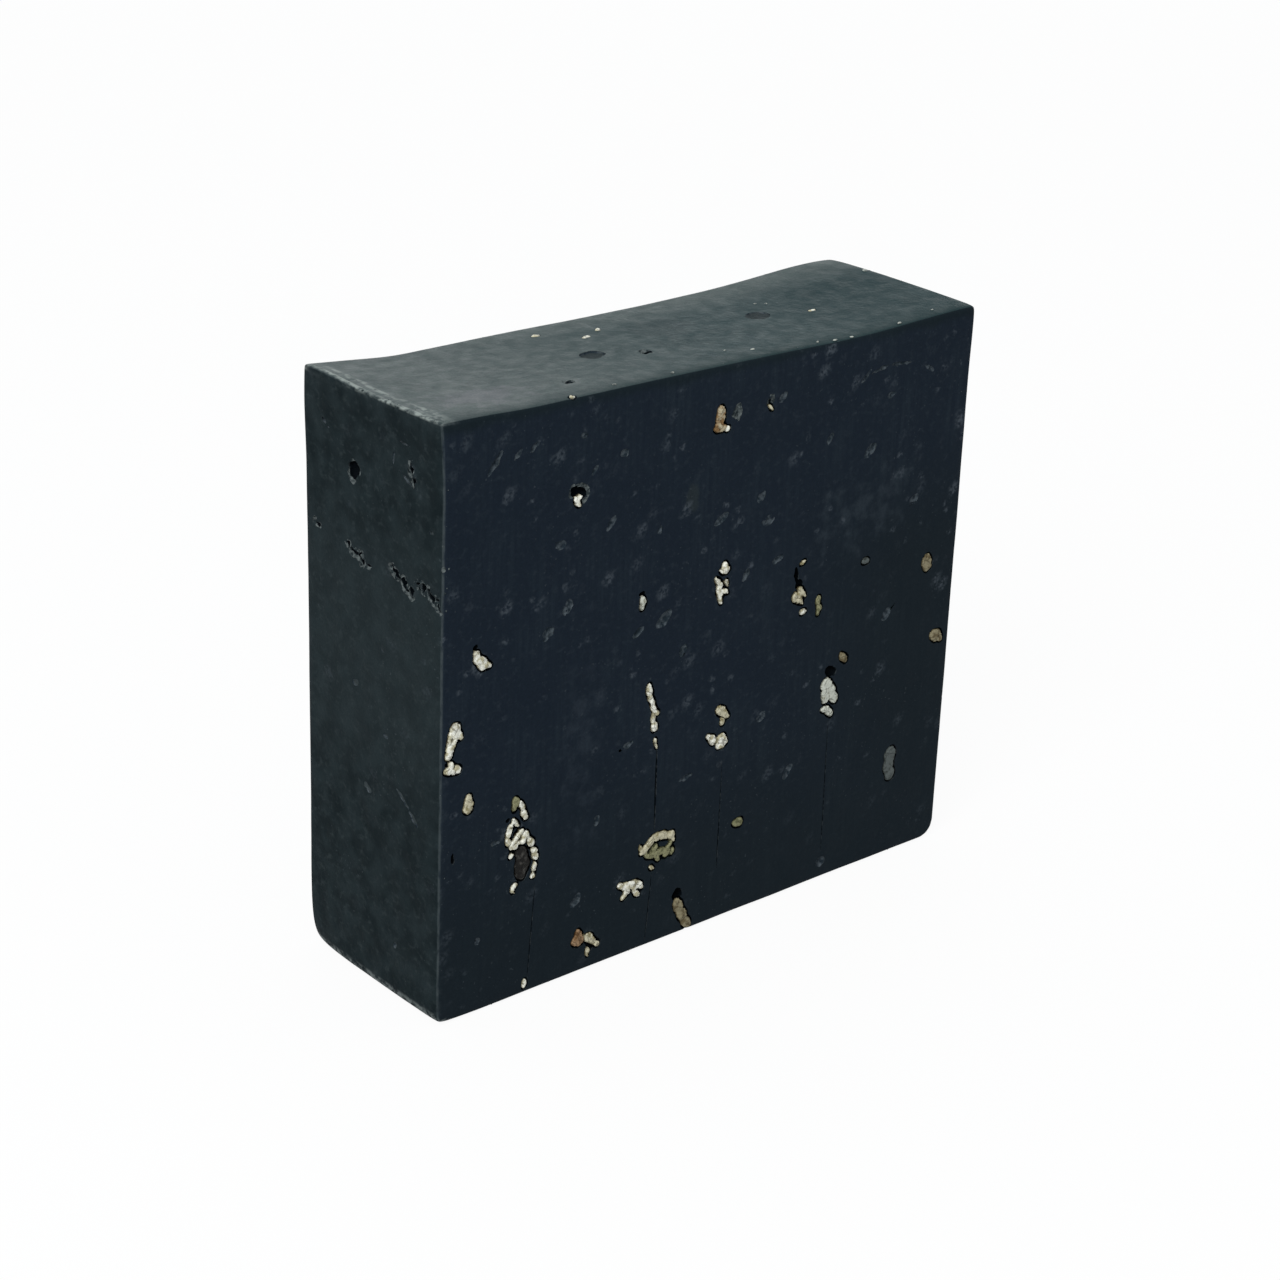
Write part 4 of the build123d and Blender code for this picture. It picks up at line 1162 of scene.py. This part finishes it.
def torn_soap():
    """Crumbly soap where something tore out: paler, dull and rough, with painted shade deeper in."""
    material, tree = new_finish("soap_torn", SOAP_SHINE)
    light = mottle(tree, 0.4, 71.0, 0.38, 0.62, 4.0)
    colour = layered(
        (0.0205, 0.029, 0.0325),
        (light, (0.125, 0.142, 0.142)),
        # painted shade: darker the deeper below the surface
        (mask(tree, DEPTH, Low=0.12, High=0.55), (0.0045, 0.0065, 0.008)),
    )
    return finished(material, colour, light * 0.2 + 0.6, (mottle(tree, 0.3, 73.0, 0.3, 0.7, 4.0), 0.07))


def pocket_soap():
    """The soap's inside, bare where a flake or air bubble lay: dark, with painted shade deeper in and a faint
    bright lip.
    """
    material, tree = new_finish("soap_pocket", SOAP_SHINE)
    light = mottle(tree, 0.6, 81.0, 0.42, 0.64)
    colour = layered(
        (0.007, 0.011, 0.0155),
        (light, (0.05, 0.059, 0.064)),
        # painted shade: darker below the pocket's mouth
        (mask(tree, DEPTH, Low=0.0, High=0.22), (0.0026, 0.004, 0.0055)),
    )
    return finished(material, colour, light * 0.15 + 0.5, (mottle(tree, 0.35, 83.0, 0.3, 0.7), 0.04))


def starch_speck():
    """A speck of oat starch: pale, grey where soap has stained it."""
    material, tree = new_finish("starch_speck", STARCH_SHINE)
    stained = mottle(tree, 0.4, 85.0, 0.4, 0.66)
    colour = layered((0.46, 0.48, 0.43), (stained, (0.12, 0.135, 0.13)))
    return finished(material, colour, stained * 0.15 + 0.6, (stained, 0.03))


def oat_finish(name, pale, tan, deep, seed, toasted):
    """Cut oat: starch, toasted bran in streaks, and painted shade where it goes down into the soap."""
    material, tree = new_finish(name, OAT_SHINE)
    bran = mottle(tree, 0.8, seed, 0.66 - toasted * 0.3, 0.8 - toasted * 0.25)
    fibres = mottle(tree, (0.1, 0.1, 0.6), seed + 2, 0.48, 0.74, 2.0)
    sooty = mottle(tree, 0.5, seed + 4, 0.62, 0.76, 4.0)
    cracks = mask(tree, CRACKS, Size=1.3, Seed=seed, Width=0.06)
    cracks = cracks * mottle(tree, 0.9, seed + 8, 0.36, 0.56, 2.0)
    colour = layered(
        pale,
        (bran, tan),
        (fibres * 0.28, deep),
        (sooty * 0.45, (0.045, 0.05, 0.05)),
        (cracks * 0.6, deep),
        # tan where the oat rounds down into the soap: partly bran tint, partly painted shade
        (mask(tree, DEPTH, Low=0.0, High=0.18) * 0.75, tan),
        # painted shade: dark deeper in the soap
        (mask(tree, DEPTH, Low=0.12, High=0.42) * 0.94, deep),
    )
    return finished(
        material, colour, bran * 0.15 + 0.66, (fibres, 0.012),
        (mottle(tree, 0.2, seed + 6, 0.3, 0.7, 2.0), 0.02), (cracks, -0.06),
    )


# ---------------------------------------------------------------- camera, floor and light


def add_camera():
    """A long lens from above the near left corner."""
    azimuth, elevation, roll = map(math.radians, (AZIMUTH, ELEVATION, ROLL))
    back = Vector((
        math.sin(azimuth) * math.cos(elevation),
        -math.cos(azimuth) * math.cos(elevation),
        math.sin(elevation),
    ))
    side = Vector((0, 0, 1)).cross(back).normalized()
    up = back.cross(side)
    turned_side = math.cos(roll) * side + math.sin(roll) * up
    turned_up = -math.sin(roll) * side + math.cos(roll) * up
    lens = bpy.data.cameras.new("camera")
    lens.lens, lens.sensor_width = FOCAL_LENGTH, SENSOR_WIDTH
    lens.clip_start, lens.clip_end = 0.01, 20.0
    camera = bpy.data.objects.new("camera", lens)
    place = Vector(AIM) * MM + back * (DISTANCE * MM)
    turn = Matrix((turned_side, turned_up, back)).transposed().to_4x4()
    camera.matrix_world = Matrix.Translation(place) @ turn
    bpy.context.scene.collection.objects.link(camera)
    bpy.context.scene.camera = camera


def emptied(holder):
    """The node tree of a world or a material, without its nodes."""
    holder.use_nodes = True
    holder.node_tree.nodes.clear()
    return holder.node_tree


def shown(tree, hidden, seen, output):
    """Sends out one shader to what the camera sees, also by way of gloss or glass, one to the rest."""
    path = add_node(tree, "LightPath").outputs
    shiny = larger(Value(path["Is Glossy Ray"]), path["Is Transmission Ray"])
    mix = {0: larger(shiny, path["Is Camera Ray"]), 1: hidden.outputs[0], 2: seen.outputs[0]}
    add_node(tree, output, {"Surface": add_node(tree, "MixShader", mix).outputs[0]})


def add_world():
    """White to the camera and in reflections, a soft even sky to everything else."""
    world = bpy.data.worlds.new("studio")
    bpy.context.scene.world = world
    tree = emptied(world)
    sky = add_node(tree, "Background", {"Color": SKY_COLOUR, "Strength": SKY_STRENGTH})
    white = add_node(tree, "Background", {"Color": (1, 1, 1, 1), "Strength": 1.0})
    shown(tree, sky, white, "OutputWorld")


def add_floor():
    """A pale floor: near white to the camera, with the bar's soft shadow."""
    deselect()
    bpy.ops.mesh.primitive_plane_add(size=6, location=(0, 0, LOW.z - 0.0002))
    floor = bpy.context.object
    floor.name = "floor"
    material = bpy.data.materials.new("floor_paint")
    tree = emptied(material)
    paint = add_node(tree, "BsdfDiffuse", {"Color": FLOOR_COLOUR})
    bright = add_node(tree, "BsdfDiffuse", {"Color": FLOOR_SEEN})
    glow = add_node(tree, "Emission", {"Strength": 1.0})
    pale = add_node(tree, "MixShader", {0: FLOOR_GLOW, 1: bright.outputs[0], 2: glow.outputs[0]})
    shown(tree, paint, pale, "OutputMaterial")
    floor.data.materials.append(material)


def add_lamp(name, place, aim, size, power, colour):
    lamp = bpy.data.lights.new(name, "AREA")
    lamp.shape = "RECTANGLE"
    lamp.size, lamp.size_y = size
    lamp.energy = power
    lamp.color = colour
    item = bpy.data.objects.new(name, lamp)
    item.location = place
    item.rotation_euler = (Vector(aim) - Vector(place)).to_track_quat("-Z", "Y").to_euler()
    bpy.context.scene.collection.objects.link(item)


# ---------------------------------------------------------------- making it


def to_cutters(item, finish):
    item.data.materials.clear()
    item.data.materials.append(finish)
    for home in list(item.users_collection):
        home.objects.unlink(item)
    cutters.objects.link(item)


chance = random.Random(11)
MOTTLE, FACES, PATCH = mottle_group(), faces_group(), patch_group()
SCUFFS, CRACKS, DEPTH = scuffs_group(), cracks_group(), depth_group()
oat_lumps_noise = noise_texture("oat_lumps", 0.7)
oat_fibre_noise = noise_texture("oat_fibres", 0.22)
pocket_noise = noise_texture("pocket", 0.5)
dent_noise = noise_texture("dent", 0.9)
broad_noise = noise_texture("broad", 13.0, 1)
ripple_noise = noise_texture("ripple", 3.2, 1)

skin, scuffed, torn, pocket, starch = soap_skin(), scuffed_soap(), torn_soap(), pocket_soap(), starch_speck()
oat_finishes = {name: oat_finish(name, *values) for name, values in OAT_COLOURS.items()}

slab = soap_slab()
for finish in (skin, scuffed, torn, pocket):
    slab.data.materials.append(finish)
oats = {node: crumbled_oat(node) for node in frame["nodes"] if node.startswith("oat_")}

cutters = bpy.data.collections.new("cutters")
bpy.context.scene.collection.children.link(cutters)
for node, oat in oats.items():
    to_cutters(pocket_of(node, oat), pocket)
for finish, make, table in (
    (pocket, hollow, HOLLOWS), (pocket, hollow, TORN_HOLLOWS), (torn, collar, TORN_HOLLOWS),
    (scuffed, dent, DENTS), (pocket, drag_groove, DRAG_LINES),
):
    for face, rows in table.items():
        for row in rows:
            to_cutters(make(face, *row), finish)
for start, end, nicks, _, largest in WORN_RIMS:
    to_cutters(rim_nicks(start, end, nicks, largest), torn)
apply_modifier(
    slab, "BOOLEAN", operation="DIFFERENCE", operand_type="COLLECTION", collection=cutters,
    solver="MANIFOLD", material_mode="TRANSFER",
)
for item in list(cutters.objects):
    bpy.data.objects.remove(item)
bpy.data.collections.remove(cutters)

crumbs = []
for start, end, _, count, largest in WORN_RIMS:
    crumbs += rim_crumbs(slab, start, end, count, largest)
crumbs = joined(crumbs, "crumbs")
specks = joined([lump("top", *speck, 0.22, 0.0) for speck in STARCH_SPECKS], "specks")
for bits, finish in ((crumbs, torn), (specks, starch)):
    bits.data.materials.append(finish)
    roughen(bits, oat_lumps_noise, 0.1)
slab = joined([slab, crumbs, specks], "soap_slab")
roughen(slab, broad_noise, 0.12)
roughen(slab, ripple_noise, 0.025)
activate(slab)
bpy.ops.object.shade_smooth_by_angle(angle=math.radians(SMOOTH_ANGLE))

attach(slab, "root")
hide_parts("soap_bar")
slots = {part["node"]: part["material_slot"] for part in frame["record"]["subparts"]}
for node, oat in oats.items():
    oat.data.materials.clear()
    own = [finish for finish, nodes in OWN_FINISH.items() if node in nodes]
    oat.data.materials.append(oat_finishes[own[0] if own else SLOT_FINISH[slots[node]]])
    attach(oat, "root")
    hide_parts(node)

add_camera()
add_world()
add_floor()
add_lamp("window", (0.75, 0.95, 0.3), (0, 0, 0.05), (0.9, 0.3), 1.87, (0.92, 1.0, 0.98))
add_lamp("key", (-0.75, -0.42, 0.7), (0, 0, 0.03), (0.6, 0.6), 7.7, (0.97, 1.0, 1.0))
bpy.context.scene.view_settings.view_transform = "Standard"
